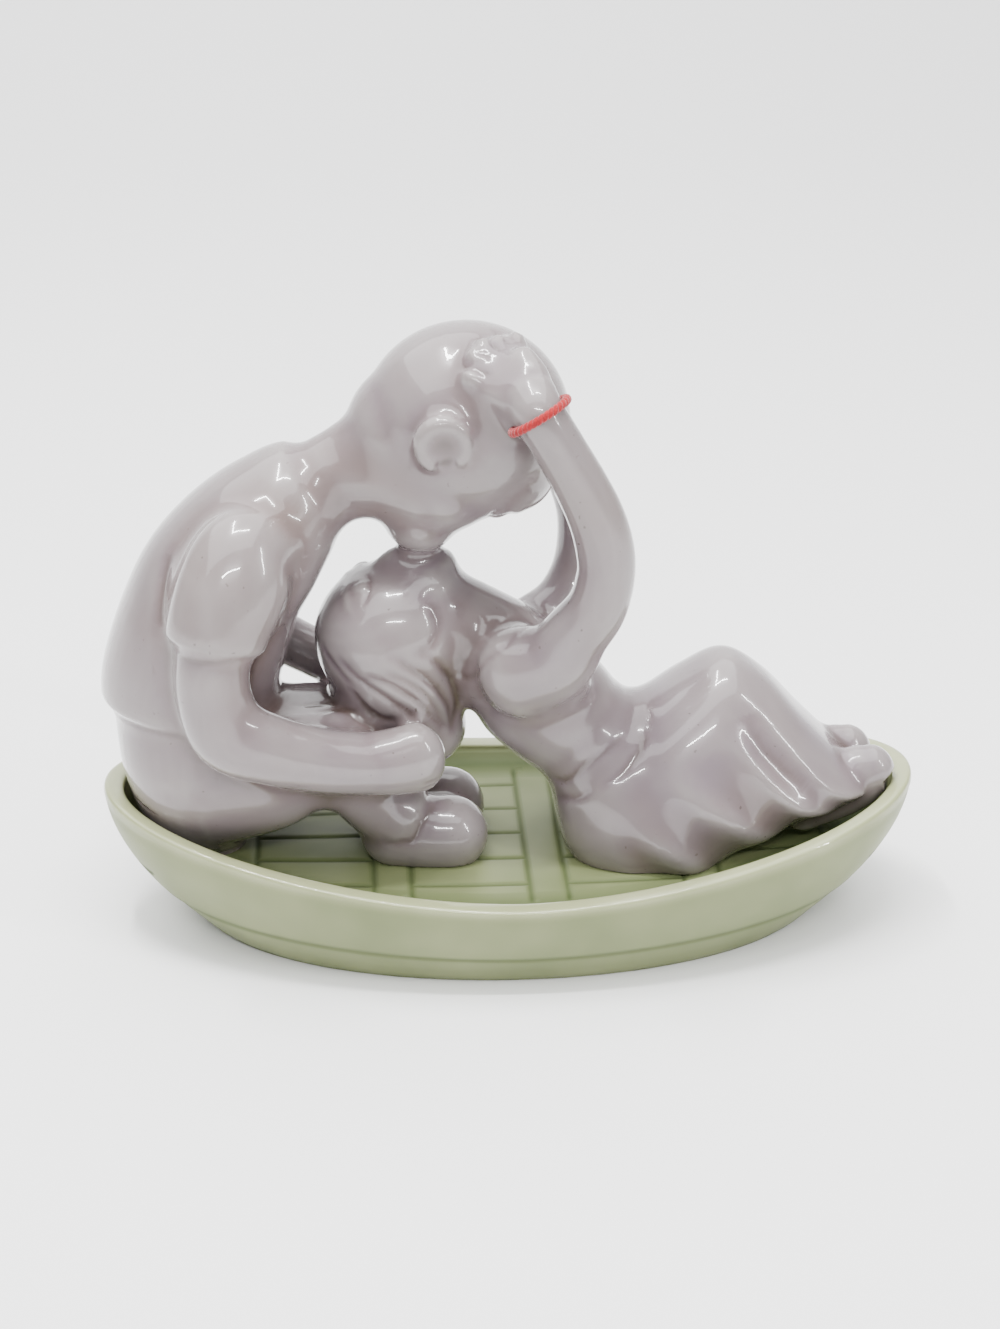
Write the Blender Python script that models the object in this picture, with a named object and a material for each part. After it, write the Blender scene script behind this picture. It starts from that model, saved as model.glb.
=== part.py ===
"""Glazed porcelain figurine: a seated man bends over a reclining woman to kiss her, and both
rest in a boat-shaped dish.  A red cord is tied round the woman's wrist.

Three pieces: dish, couple (cast as one) and wrist_cord.  +X runs along the dish from the man
to the woman, +Y goes away from the viewer, +Z is up, and the origin is at the middle of the
dish's underside.
"""

import math

import bmesh
import bpy
from mathutils import Matrix, Vector

MM = 0.001

# Dish: driving sizes, in millimetres
DISH_LENGTH = 200.0
DISH_BEAM = 94.0
RIM_HEIGHT = 24.0
RIM_SHEER = 13.8
SHEER_POWER = 1.6
BASE_LENGTH = 150.0
BASE_BEAM = 76.0
STRAKE_SHARE = 0.34
HULL_SWELL = 1.0
STRAKE_DEPTH = 0.7
RIM_WIDTH = 5.0
FLOOR_HEIGHT = 20.0
FLOOR_THICKNESS = 6.0
FLOOR_INSET = 3.0
FOOT_RING_WIDTH = 6.5
RECESS_TAPER = 3.0
EDGE_ROUND = 1.2
DISH_SIDES = 60
# Over the rim, outside to inside: (share of its width, share of its height)
RIM_PROFILE = ((0, 0.94), (0.12, 0.985), (0.5, 1.0), (0.88, 0.985), (1, 0.95))

# Plank pattern pressed into the dish floor
PLANK_WIDTH = 13.1
BOARD_WIDTH = 9.0
BOARD_PITCH = 37.5
BOARD_OFFSET = 7.5
GROOVE_WIDTH = 1.1

# Couple: its stations are written on the sculptor's grid, which has this many parts to the
# dish's length, with the origin at the middle of the dish floor
GRID_PARTS = 200.0
GRID = DISH_LENGTH / GRID_PARTS
SEAT_GAP = 0.3
WALL_CLEARANCE = 0.6
LIMB_SIDES = 20
STEPS_PER_STATION = 4
# The rings of a rounded limb end, in degrees from its last station
DOME_ANGLES = (28, 52, 72, 84)
CLAY_VOXEL = 1.0 * GRID
CLAY_SMOOTHING = 5
COUPLE_TRIANGLES_SHARE = 0.03

# Wrist cord
CORD_DIAMETER = 2.1
CORD_GAP = 0.4
CORD_AXIS = (-0.52, 0.2, 0.83)
CORD_SEGMENTS = 24
CORD_SIDES = 8

GLAZE_PALE = (0.74, 0.70, 0.72, 1.0)
GLAZE_CELADON = (0.60, 0.66, 0.46, 1.0)
CORD_RED = (0.80, 0.06, 0.06, 1.0)


def material(name, colour, roughness):
    """One Principled surface in a plain colour."""
    made = bpy.data.materials.new(name)
    made.use_nodes = True
    shader = made.node_tree.nodes["Principled BSDF"]
    shader.inputs["Base Color"].default_value = colour
    shader.inputs["Roughness"].default_value = roughness
    shader.inputs["Metallic"].default_value = 0.0
    return made


def place(name, bm, surface):
    """Turns a bmesh in millimetres into a smooth-shaded object in metres."""
    bmesh.ops.transform(bm, matrix=Matrix.Scale(MM, 4), verts=bm.verts)
    mesh = bpy.data.meshes.new(name)
    bm.to_mesh(mesh)
    bm.free()
    mesh.shade_smooth()
    made = bpy.data.objects.new(name, mesh)
    bpy.context.scene.collection.objects.link(made)
    if surface:
        mesh.materials.append(surface)
    return made


def curve_value(values, t):
    """Catmull-Rom value at t, where whole numbers are the stations themselves."""
    i = min(int(t), len(values) - 2)
    f = t - i
    a, b, c, d = (values[max(0, min(len(values) - 1, i + k))] for k in (-1, 0, 1, 2))
    return 0.5 * (2 * b + (c - a) * f + (2 * a - 5 * b + 4 * c - d) * f**2 + (3 * b - 3 * c + d - a) * f**3)


def dome(frame, way):
    """The shrinking rings that round off a limb's end, forwards (1) or backwards (-1)."""
    centre, thick_axis, wide_axis, along, thick, wide = frame
    rings = []
    for angle in (math.radians(a) for a in DOME_ANGLES):
        reach = way * min(thick, wide) * math.sin(angle)
        shrink = math.cos(angle)
        rings.append((centre + along * reach, thick_axis, wide_axis, along, thick * shrink, wide * shrink))
    return rings


def ring_frames(stations, dome_start=True, dome_end=True, steps=STEPS_PER_STATION):
    """A matrix for each ring of a limb: the unit circle's place, tilt and two radii."""
    columns = list(zip(*stations))
    count = (len(stations) - 1) * steps
    times = [k / steps for k in range(count + 1)]
    rows = [[curve_value(column, t) for column in columns] for t in times]
    points = [Vector(row[:3]) for row in rows]
    frames = []
    for k, row in enumerate(rows):
        along = (points[min(k + 1, count)] - points[max(k - 1, 0)]).normalized()
        depth = Vector((0, 1, 0))
        depth = (depth - along * depth.dot(along)).normalized()
        frames.append((points[k], depth.cross(along), depth, along, row[3], row[4]))
    if dome_start:
        frames[:0] = reversed(dome(frames[0], -1))
    if dome_end:
        frames += dome(frames[-1], 1)
    made = []
    for centre, thick_axis, wide_axis, along, thick, wide in frames:
        turn = Matrix((thick_axis * thick, wide_axis * wide, along * max(thick, wide))).transposed().to_4x4()
        made.append(Matrix.Translation(centre) @ turn)
    return made


def stacked(bm, sides, rings):
    """A closed skin through rings, each of which is a function from an angle to a point."""
    first = bmesh.ops.create_circle(bm, cap_ends=True, segments=sides, radius=1)
    cap = first["verts"][0].link_faces[0]
    angles = [math.atan2(vert.co.y, vert.co.x) for vert in cap.verts]
    for number, ring in enumerate(rings):
        if number:
            grown = bmesh.ops.extrude_face_region(bm, geom=[cap])["geom"]
            if number > 1:
                bmesh.ops.delete(bm, geom=[cap], context="FACES_ONLY")
            cap = next(part for part in grown if isinstance(part, bmesh.types.BMFace))
        for vert, angle in zip(cap.verts, angles):
            vert.co = ring(angle)


def on_ring(frame):
    """The ring function of one frame."""
    return lambda angle: frame @ Vector((math.cos(angle), math.sin(angle), 0))


def limb(bm, stations, dome_start=True, dome_end=True, sides=LIMB_SIDES):
    """A closed tube through stations (x, y, z, in-plane radius, radius along Y) on the grid."""
    stacked(bm, sides, [on_ring(frame) for frame in ring_frames(stations, dome_start, dome_end)])


def ball(bm, centre, radii, lean=0.0):
    """An ellipsoid, leaning about Y by an angle in degrees."""
    turn = Matrix.Translation(centre) @ Matrix.Rotation(math.radians(lean), 4, "Y")
    size = Matrix.Diagonal((*radii, 1.0))
    bmesh.ops.create_uvsphere(bm, u_segments=28, v_segments=18, radius=1.0, matrix=turn @ size)


# Man: seated with his knees drawn up, his back bent and his face turned down

MAN_SHIRT = [
    (-78.2, 0, 40.5, 20.9, 21.8),
    (-77.6, 0, 46, 21.1, 21.8),
    (-73.4, 0, 59, 20.8, 21.5),
    (-68.7, 0, 70, 19.8, 22),
    (-60.3, 0, 81, 17.8, 21),
    (-52, 0, 89.5, 14.6, 17),
    (-46.6, 0, 93.4, 12.2, 12.8),
]
MAN_SEAT = [
    (-77.2, 0, 46, 18.8, 20),
    (-76.4, 0, 34, 19.6, 21.5),
    (-75.6, 0, 24, 19.4, 22.5),
    (-75, 0, 14, 17.2, 20.5),
    (-74, 0, 6, 12.5, 15.5),
    (-73.5, 0, 1, 8, 9),
]
MAN_THIGH = [
    (-74, -9.5, 22, 17.5, 13),
    (-60, -12, 24.5, 15, 12.2),
    (-51, -12.6, 27.6, 12.5, 11.5),
    (-43.5, -12.6, 29.4, 10.9, 11),
]
MAN_SHIN = [
    (-43.5, -12.6, 29.4, 10.9, 11),
    (-38, -11.8, 22, 9.5, 10),
    (-32.5, -10.8, 15, 9.1, 9.4),
    (-27, -10.2, 10.5, 9.6, 9.2),
]
MAN_FOOT = [
    (-29, -10, 6.5, 9, 8.6),
    (-22, -10.2, 5.8, 9.2, 9),
    (-15.4, -10, 5.6, 9.6, 9.3),
]
MAN_FAR_THIGH = [
    (-74, 9.5, 20, 16.5, 13),
    (-60, 11, 21.5, 13.5, 12.2),
    (-51, 10.6, 24.4, 11.6, 11.2),
    (-43.5, 10, 26.6, 10.6, 10.6),
]
MAN_FAR_SHIN = [
    (-43.5, 10, 26.6, 10.6, 10.6),
    (-38, 9, 20, 9.4, 9.8),
    (-32.5, 8, 13.8, 9.1, 9.4),
    (-27, 7.2, 9.5, 9.4, 9.2),
]
MAN_FAR_FOOT = [
    (-29, 7, 5.6, 9, 8.6),
    (-22, 7, 5, 9.2, 9),
    (-15.4, 7, 4.8, 9.6, 9.3),
]
MAN_SLEEVE = [
    (-57, -12, 84, 9, 9),
    (-62.3, -18.5, 82.5, 12, 10),
    (-66, -23, 76, 12.5, 10),
    (-68.8, -25.2, 69, 12, 10),
    (-69.8, -26, 64.5, 11.6, 9.8),
]
MAN_FAR_SLEEVE = [
    (-58, 10, 80, 8, 9),
    (-63, 16.5, 77, 11.5, 10),
    (-66, 22, 72.5, 12, 10),
    (-68.8, 25.2, 67, 11.8, 10),
    (-69.8, 26, 63, 11.6, 9.8),
]
MAN_NEAR_ARM = [
    (-66, -23, 78, 8.5, 7.5),
    (-70.4, -26.3, 60, 8.6, 8),
    (-70.2, -27, 50, 8.8, 8),
    (-66.6, -27.4, 42, 9.4, 8),
    (-58, -27.4, 38, 8.5, 7.8),
    (-51.5, -27, 36, 7.9, 7.5),
    (-44.6, -26, 34, 7.6, 7.3),
    (-35, -24.5, 32.3, 7.3, 7),
]
MAN_NEAR_HAND = [
    (-37, -24.6, 32.4, 7.3, 7),
    (-29.5, -23.4, 32.2, 8.2, 7),
    (-23.8, -22.4, 32.8, 8.8, 6.8),
]
MAN_FAR_ARM = [
    (-66, 23, 76, 8.5, 7.5),
    (-70.2, 26.3, 62, 8.4, 8),
    (-69.6, 27, 55, 8.2, 7.8),
    (-65, 27, 48.6, 7.8, 7.2),
    (-57, 26, 43.8, 6.6, 6.6),
    (-50, 25, 40.3, 6.2, 6.3),
    (-42, 24, 36.5, 6.2, 6.2),
    (-34, 21.5, 34, 6, 6),
    (-27, 18, 33.5, 6.4, 5),
]
MAN_NECK = [
    (-54, 0, 87, 11, 10.5),
    (-46, 0, 92.5, 10.9, 10.4),
    (-38, 0, 97, 11.2, 10.8),
    (-29, 0, 102, 12.5, 12.5),
]
MAN_SKULL = ((-11.2, 0, 108.8), (24.4, 21.5, 23.4))
MAN_NAPE = ((-22, 0, 106), (17.5, 16.5, 17.5))
MAN_JAW = [
    (-14, 0, 103, 20, 17),
    (-18.5, 0, 93, 14.5, 14.5),
    (-21.8, 0, 86.5, 9.5, 9.5),
]
MAN_BROW = ((-0.5, 0, 97.5), (10.5, 15.0, 10.5))
MAN_NOSE = [
    (-8.5, 0, 88.5, 3.0, 3.2),
    (-13, 0, 85.2, 2.7, 2.9),
    (-15.8, 0, 82.9, 2.6, 2.9),
]
MAN_LIPS = ((-23.6, 0, 79.6), (2.6, 4.6, 2.0))
EAR_CENTRE = (-17.2, -20.6, 109.6)
EAR_RADIUS = 6.8
EAR_RIM = 1.9

# Woman: reclining on her back, face up, with both arms raised to his head

WOMAN_SKULL = ((-28.6, 0, 56), (19.4, 17.8, 17.4))
WOMAN_SKULL_LEAN = -24.3
WOMAN_FACE = [
    (-33, 0, 57, 13.5, 14.5),
    (-26, 0, 62.5, 12.5, 12.8),
    (-19.6, 0, 68, 8, 9),
]
WOMAN_NOSE = [
    (-33.6, 0, 70.6, 2.0, 2.4),
    (-30.3, 0, 73.4, 2.2, 2.4),
    (-28.2, 0, 75.0, 2.3, 2.6),
]
WOMAN_LIPS = ((-23.4, 0, 76.4), (2.6, 4.2, 2.4))
WOMAN_CHIN = ((-17.8, 0, 72.6), (4.6, 5.4, 4.2))
WOMAN_HAIR = [
    (-31, 0, 54.5, 16.8, 18.4),
    (-28, 0, 46, 15.8, 17.6),
    (-24.3, 0, 37.5, 13, 15.5),
    (-20.8, 0, 31, 9.8, 12),
]
LOCK_ANGLES = (100, 128, 156, 184, 212, 240, 268)
LOCK_SWEEP = -26
LOCK_SHARE = 0.95
LOCK_RADIUS = 2.4
WOMAN_NECK = [
    (-23, 0, 64, 10, 9.5),
    (-12, 0, 60, 8.6, 8.8),
    (-2, 0, 53, 9.6, 11),
]
WOMAN_TORSO = [
    (-3, 0, 47.2, 12.6, 15.5),
    (3.4, 0, 42, 15.2, 18),
    (11.5, 0, 34.2, 15.2, 18),
    (18.4, 0, 26.8, 14.1, 16.6),
    (25, 0, 19, 15.5, 19),
]
WOMAN_SASH = [
    (16.9, 0, 28.9, 14.6, 17.4),
    (20.3, 0, 25.3, 14.7, 17.6),
]
WOMAN_NEAR_ARM = [
    (0.6, -15.5, 51, 11.6, 9.5),
    (8.8, -19, 55.6, 9.5, 9),
    (13.6, -21.5, 63.5, 7.8, 7.8),
    (18, -23.4, 71, 7.1, 7.1),
    (19.8, -24.2, 79.7, 6.8, 6.8),
    (19.2, -24.5, 86.5, 6.8, 6.7),
    (17.2, -24.8, 93.4, 6.6, 6.5),
    (13.8, -25.2, 100.8, 6.3, 6.2),
    (9.2, -25.7, 109.2, 6, 5.9),
    (3.9, -25.7, 118.2, 5.7, 5.5),
    (1.8, -23.4, 122, 6.2, 4.8),
]
WOMAN_PALM = [
    (2.6, -23.6, 120.4, 5.8, 4.8),
    (0.3, -19.9, 123.5, 7, 4),
    (-2.1, -16.5, 125.5, 7.4, 3.4),
]
FINGER_RADIUS = 2.4
FINGER_LIFT = 0.7
# Each finger from its root to its tip, laid on the skull afterwards
WOMAN_FINGERS = [
    [(0, -20.8, 121.4), (-6.8, -19.2, 122.6), (-10.6, -17, 124)],
    [(-1.5, -18, 124.4), (-6, -15.6, 126.4), (-9.4, -13.4, 127.8)],
    [(-1, -16.8, 125.6), (-4.6, -13.2, 128), (-7.4, -10.6, 129.4)],
    [(0.5, -16, 125.6), (-1.9, -11.4, 128.6), (-4, -8.4, 130)],
    [(2.2, -15.6, 124), (1.4, -10.8, 127.8), (-0.2, -6.8, 129.6)],
]
WOMAN_FAR_ARM = [
    (8, 16.5, 46.5, 11, 9.5),
    (14.6, 19.5, 52.6, 9, 9),
    (18.2, 22, 60.4, 7.6, 7.8),
    (19.4, 23.8, 69, 6.9, 7),
    (18.6, 25, 78, 6.5, 6.6),
    (15, 26, 87, 6.1, 6.2),
    (9.4, 26, 95, 5.8, 5.6),
    (3, 24.6, 102, 6.6, 4.2),
    (-3.2, 22.8, 108, 6.4, 3.2),
]
WOMAN_FOOT = [
    (72, -6.4, 9, 6.5, 6),
    (80.5, -6.2, 13.8, 8.2, 6.3),
    (86.6, -6, 17.2, 7.9, 6.2),
    (89.4, -5.9, 18.4, 6.6, 5.4),
]
FAR_FOOT_BACK = 3.6

# Skirt: upright sections across the boat as (x, bottom, top, half width at bottom, at top)
SKIRT = [
    (10.5, 9, 21, 11, 10),
    (13.5, -1, 30, 19, 15),
    (20, -7, 35, 24.5, 18),
    (30, -8, 35, 28.5, 19),
    (42, -7, 43.4, 30.5, 18),
    (52, -3, 48.6, 28.5, 15),
    (62, 2.5, 43, 25.6, 14.5),
    (72, 8, 32.3, 22.8, 14.5),
    (81, 11.8, 23, 19, 13),
    (86.5, 14, 17.6, 14.5, 11),
]
SKIRT_SQUARENESS = 2.6
FOLD_COUNT = 3.0
FOLD_DEPTH = 2.4
FOLD_SLANT = 3.2
# Folds run over this stretch of x, and grow to their full depth over the first part of it
FOLD_STRETCH = (20.0, 82.0)
FOLD_GROWTH = 30.0


def skirt_section(section, angle):
    """A point of the skirt's outline in one upright section, folds included."""
    x, bottom, top, wide_bottom, wide_top = section
    power = 2.0 / SKIRT_SQUARENESS
    side = math.copysign(abs(math.cos(angle)) ** power, math.cos(angle))
    rise = math.copysign(abs(math.sin(angle)) ** power, math.sin(angle))
    share = (rise + 1) / 2
    wide = wide_bottom + (wide_top - wide_bottom) * share
    start, stop = FOLD_STRETCH
    growth = max(0.0, min(1.0, (x - start) / FOLD_GROWTH))
    wave = math.sin(2 * math.pi * FOLD_COUNT * (x - start) / (stop - start) - FOLD_SLANT * share)
    wide += FOLD_DEPTH * wave * growth * math.sin(math.pi * min(1.0, 1.35 - share))
    return x, side * wide, bottom + (top - bottom) * share


def add_skirt(bm):
    """The skirt, drawn tight over her raised knees and hanging in folds on both sides."""
    columns = list(zip(*SKIRT))
    steps = (len(SKIRT) - 1) * STEPS_PER_STATION
    times = [k / STEPS_PER_STATION for k in range(steps + 1)]
    sections = [[curve_value(column, t) for column in columns] for t in times]
    stacked(bm, 3 * LIMB_SIDES, [lambda angle, s=section: skirt_section(s, angle) for section in sections])


def add_man(bm):
    """The seated figure's masses, which overlap and are fused afterwards."""
    limb(bm, MAN_SHIRT, dome_start=False, dome_end=False)
    limb(bm, MAN_SEAT)
    limb(bm, MAN_NECK)
    limb(bm, MAN_JAW)
    limb(bm, MAN_NOSE)
    for mass in (MAN_SKULL, MAN_NAPE, MAN_BROW, MAN_LIPS):
        ball(bm, *mass)
    for closed in (MAN_THIGH, MAN_FAR_THIGH, MAN_FOOT, MAN_FAR_FOOT):
        limb(bm, closed)
    for closed in (MAN_NEAR_ARM, MAN_NEAR_HAND, MAN_FAR_ARM):
        limb(bm, closed)
    for hemmed in (MAN_SHIN, MAN_FAR_SHIN, MAN_SLEEVE, MAN_FAR_SLEEVE):
        limb(bm, hemmed, dome_end=False)
    add_ear(bm, 1)
    add_ear(bm, -1)


def add_ear(bm, side):
    """A curled rim and a shallow pad, on the side that the sign gives."""
    x, y, z = EAR_CENTRE
    turns = [math.radians(a) for a in range(-40, 235, 25)]
    rim = []
    for a in turns:
        place_on = (x + EAR_RADIUS * math.cos(a), side * (y - EAR_RIM / 2), z + EAR_RADIUS * math.sin(a))
        rim.append((*place_on, EAR_RIM, EAR_RIM))
    limb(bm, rim, sides=10)
    ball(bm, (x, side * (y + EAR_RIM / 2), z), (EAR_RADIUS, EAR_RIM, EAR_RADIUS))


def on_skull(point, lift):
    """The place above or below a point on the man's skull, lifted off its surface."""
    centre, radii = (Vector(values) for values in MAN_SKULL)
    out = Vector(point) - centre
    size = Vector(c / r for c, r in zip(out, radii)).length
    return centre + out / size + out.normalized() * lift


def add_locks(bm):
    """Locks of hair, combed back from the face along the hanging bunch."""
    frames = ring_frames(WOMAN_HAIR, dome_start=False, dome_end=False)
    for start in LOCK_ANGLES:
        lock = []
        for number, frame in enumerate(frames[::STEPS_PER_STATION]):
            angle = math.radians(start + LOCK_SWEEP * number)
            place_on = frame @ (LOCK_SHARE * Vector((math.cos(angle), math.sin(angle), 0)))
            lock.append((*place_on, LOCK_RADIUS, LOCK_RADIUS))
        limb(bm, lock, sides=8)


def add_woman(bm):
    """The reclining figure's masses."""
    ball(bm, *WOMAN_SKULL, WOMAN_SKULL_LEAN)
    ball(bm, *WOMAN_LIPS)
    ball(bm, *WOMAN_CHIN)
    add_locks(bm)
    for stations in (WOMAN_FACE, WOMAN_NOSE, WOMAN_HAIR, WOMAN_NECK, WOMAN_TORSO, WOMAN_SASH):
        limb(bm, stations)
    for stations in (WOMAN_NEAR_ARM, WOMAN_FAR_ARM, WOMAN_PALM):
        limb(bm, stations)
    for points in WOMAN_FINGERS:
        root, *rest = points
        laid = [root, *(on_skull(point, FINGER_LIFT) for point in rest)]
        limb(bm, [(*point, FINGER_RADIUS, FINGER_RADIUS) for point in laid], sides=10)
    limb(bm, WOMAN_FOOT)
    limb(bm, [(x - FAR_FOOT_BACK, -y, z, h, w) for x, y, z, h, w in WOMAN_FOOT])
    add_skirt(bm)


def rim_height(x):
    """The rim rises from midship to both ends."""
    return RIM_HEIGHT + RIM_SHEER * abs(2 * x / DISH_LENGTH) ** SHEER_POWER


def oval(length, beam, height):
    """A ring function for an oval plan outline whose height may vary along the dish."""
    def point(angle):
        x = length / 2 * math.cos(angle)
        return x, beam / 2 * math.sin(angle), height(x)
    return point


def level(height):
    """The same height all along."""
    return lambda x: height


def below_rim(share):
    """A share of the rim's height above the ground, following its rise to both ends."""
    return lambda x: share * rim_height(x)


def above_floor(share):
    """From the dish floor at 0 up to the rim at 1."""
    return lambda x: FLOOR_HEIGHT + (rim_height(x) - FLOOR_HEIGHT) * share


def hull_ring(share, groove=0.0):
    """The hull's outline at a share of its height: it swells out from base to rim."""
    swell = math.sin(math.pi / 2 * share) ** HULL_SWELL
    length = BASE_LENGTH + (DISH_LENGTH - BASE_LENGTH) * swell - 2 * groove
    beam = BASE_BEAM + (DISH_BEAM - BASE_BEAM) * swell - 2 * groove
    return oval(length, beam, below_rim(share))


def dish_rings():
    """Up round the dish: recess roof, foot ring, hull with its strake line, rim, wall and floor."""
    recess = 2 * FOOT_RING_WIDTH
    roof = recess + 2 * RECESS_TAPER
    rings = [
        oval(BASE_LENGTH - roof, BASE_BEAM - roof, level(FLOOR_HEIGHT - FLOOR_THICKNESS)),
        oval(BASE_LENGTH - recess, BASE_BEAM - recess, level(EDGE_ROUND)),
        oval(BASE_LENGTH - recess + EDGE_ROUND, BASE_BEAM - recess + EDGE_ROUND, level(0)),
        oval(BASE_LENGTH - EDGE_ROUND, BASE_BEAM - EDGE_ROUND, level(0)),
    ]
    for share in (0.05, 0.18, STRAKE_SHARE - 0.04):
        rings.append(hull_ring(share))
    rings.append(hull_ring(STRAKE_SHARE, STRAKE_DEPTH))
    for share in (STRAKE_SHARE + 0.05, 0.62, 0.82):
        rings.append(hull_ring(share))
    for inset, share in RIM_PROFILE:
        narrowing = 2 * RIM_WIDTH * inset
        rings.append(oval(DISH_LENGTH - narrowing, DISH_BEAM - narrowing, below_rim(share)))
    for share in (0.55, 0.2, 0.0):
        inset = 2 * RIM_WIDTH + 2 * FLOOR_INSET * (1 - share) ** 2
        rings.append(oval(DISH_LENGTH - inset, DISH_BEAM - inset, above_floor(share)))
    return rings


def room_rings():
    """The space that the couple may fill: the dish's inside less its clearances, and all above."""
    wall = 2 * RIM_WIDTH + 2 * WALL_CLEARANCE
    floor = wall + 2 * FLOOR_INSET
    over = 2 * DISH_LENGTH
    return [
        oval(DISH_LENGTH - floor, DISH_BEAM - floor, level(FLOOR_HEIGHT + SEAT_GAP)),
        oval(DISH_LENGTH - wall, DISH_BEAM - wall, above_floor(0.55)),
        oval(DISH_LENGTH - wall, DISH_BEAM - wall, above_floor(1.1)),
        oval(DISH_LENGTH, DISH_BEAM, above_floor(1.4)),
        oval(over, over, level(FLOOR_HEIGHT + DISH_LENGTH)),
    ]


def hidden_tool(name, bm):
    """An object that only cuts or trims others."""
    tool = place(name, bm, None)
    tool.hide_render = True
    tool.display_type = "WIRE"
    return tool


def room_cutter():
    """The tool that trims the couple to the room in the dish."""
    bm = bmesh.new()
    stacked(bm, DISH_SIDES, room_rings())
    bmesh.ops.recalc_face_normals(bm, faces=bm.faces)
    return hidden_tool("room_in_dish", bm)


def board_edges():
    """Where the cross boards of the floor begin and end, from one end of the dish to the other."""
    middles = [BOARD_OFFSET + k * BOARD_PITCH for k in (-2, -1, 0, 1, 2)]
    return [(middle - BOARD_WIDTH / 2, middle + BOARD_WIDTH / 2) for middle in middles]


def floor_half_width(x):
    """Half the floor's width at x."""
    half_length = DISH_LENGTH / 2 - RIM_WIDTH - FLOOR_INSET
    half_beam = DISH_BEAM / 2 - RIM_WIDTH - FLOOR_INSET
    return half_beam * math.sqrt(max(0.0, 1 - (x / half_length) ** 2))


def groove_tools():
    """Two tools: one for the cross boards' edges, one for the seams between the planks."""
    across = bmesh.new()
    along = bmesh.new()
    edges = board_edges()
    seam = GROOVE_WIDTH / 2
    for x in [edge for pair in edges for edge in pair]:
        reach = floor_half_width(x) - GROOVE_WIDTH
        if reach > PLANK_WIDTH:
            side = GROOVE_WIDTH / math.sqrt(2)
            bar = Matrix.Rotation(math.radians(45), 4, "Y") @ Matrix.Diagonal((side, 2 * reach, side, 1))
            bmesh.ops.create_cube(across, size=1, matrix=Matrix.Translation((x, 0, FLOOR_HEIGHT)) @ bar)
    for (_, start), (stop, _) in zip(edges, edges[1:]):
        for row in range(-3, 4):
            stations = []
            for x in (start, (start + stop) / 2, stop):
                taper = floor_half_width(x) / floor_half_width(0)
                stations.append((x, row * PLANK_WIDTH * taper**0.5, FLOOR_HEIGHT, seam, seam))
            inside = all(abs(y) < floor_half_width(x) - GROOVE_WIDTH for x, y, *_ in stations)
            if inside:
                rings = ring_frames(stations, dome_start=False, dome_end=False, steps=1)
                stacked(along, 4, [on_ring(frame) for frame in rings])
    return hidden_tool("board_edge_grooves", across), hidden_tool("plank_seam_grooves", along)


def make_couple():
    """Fuses both figures into one cast body and trims it to the room that the dish leaves."""
    bm = bmesh.new()
    add_man(bm)
    add_woman(bm)
    bmesh.ops.recalc_face_normals(bm, faces=bm.faces)
    onto_floor = Matrix.Translation((0, 0, FLOOR_HEIGHT)) @ Matrix.Scale(GRID, 4)
    bmesh.ops.transform(bm, matrix=onto_floor, verts=bm.verts)
    couple = place("couple", bm, material("pale_glaze", GLAZE_PALE, 0.12))
    fuse = couple.modifiers.new("fuse", "REMESH")
    fuse.mode = "VOXEL"
    fuse.voxel_size = CLAY_VOXEL * MM
    fuse.use_smooth_shade = True
    soften = couple.modifiers.new("soften", "SMOOTH")
    soften.factor = 0.5
    soften.iterations = CLAY_SMOOTHING
    thin = couple.modifiers.new("thin", "DECIMATE")
    thin.ratio = COUPLE_TRIANGLES_SHARE
    trim = couple.modifiers.new("trim", "BOOLEAN")
    trim.operation = "INTERSECT"
    trim.object = room_cutter()


def make_wrist_cord():
    """A closed ring of red cord, just clear of the wrist."""
    bm = bmesh.new()
    centre = Vector(WOMAN_NEAR_ARM[-2][:3]) * GRID + Vector((0, 0, FLOOR_HEIGHT))
    along = Vector(CORD_AXIS).normalized()
    wrist = max(WOMAN_NEAR_ARM[-2][3:]) * GRID
    middle = wrist + CORD_GAP + CORD_DIAMETER / 2
    turn = along.to_track_quat("Z", "Y").to_matrix().to_4x4()
    section = Matrix.Translation((middle, 0, 0)) @ Matrix.Rotation(math.pi / 2, 4, "X")
    loop = bmesh.ops.create_circle(bm, segments=CORD_SIDES, radius=CORD_DIAMETER / 2, matrix=section)
    edges = list({edge for vert in loop["verts"] for edge in vert.link_edges})
    bmesh.ops.spin(
        bm, geom=[*loop["verts"], *edges], angle=2 * math.pi, steps=CORD_SEGMENTS,
        axis=(0, 0, 1), cent=(0, 0, 0), use_merge=True,
    )
    bmesh.ops.remove_doubles(bm, verts=bm.verts, dist=1e-4)
    bmesh.ops.recalc_face_normals(bm, faces=bm.faces)
    bmesh.ops.transform(bm, matrix=Matrix.Translation(centre) @ turn, verts=bm.verts)
    place("wrist_cord", bm, material("red_thread", CORD_RED, 0.6))


def make_dish():
    """The boat-shaped dish, with its floor grooved like boards."""
    bm = bmesh.new()
    stacked(bm, DISH_SIDES, dish_rings())
    bmesh.ops.recalc_face_normals(bm, faces=bm.faces)
    dish = place("dish", bm, material("celadon_glaze", GLAZE_CELADON, 0.15))
    for number, tool in enumerate(groove_tools()):
        press = dish.modifiers.new(f"press_{number}", "BOOLEAN")
        press.operation = "DIFFERENCE"
        press.object = tool


for old in list(bpy.data.objects):
    bpy.data.objects.remove(old)
make_dish()
make_couple()
make_wrist_cord()
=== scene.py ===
import math

import bmesh
import bpy
import numpy as np
from mathutils import Matrix, Vector
from mathutils.bvhtree import BVHTree
from mathutils.kdtree import KDTree


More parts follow.
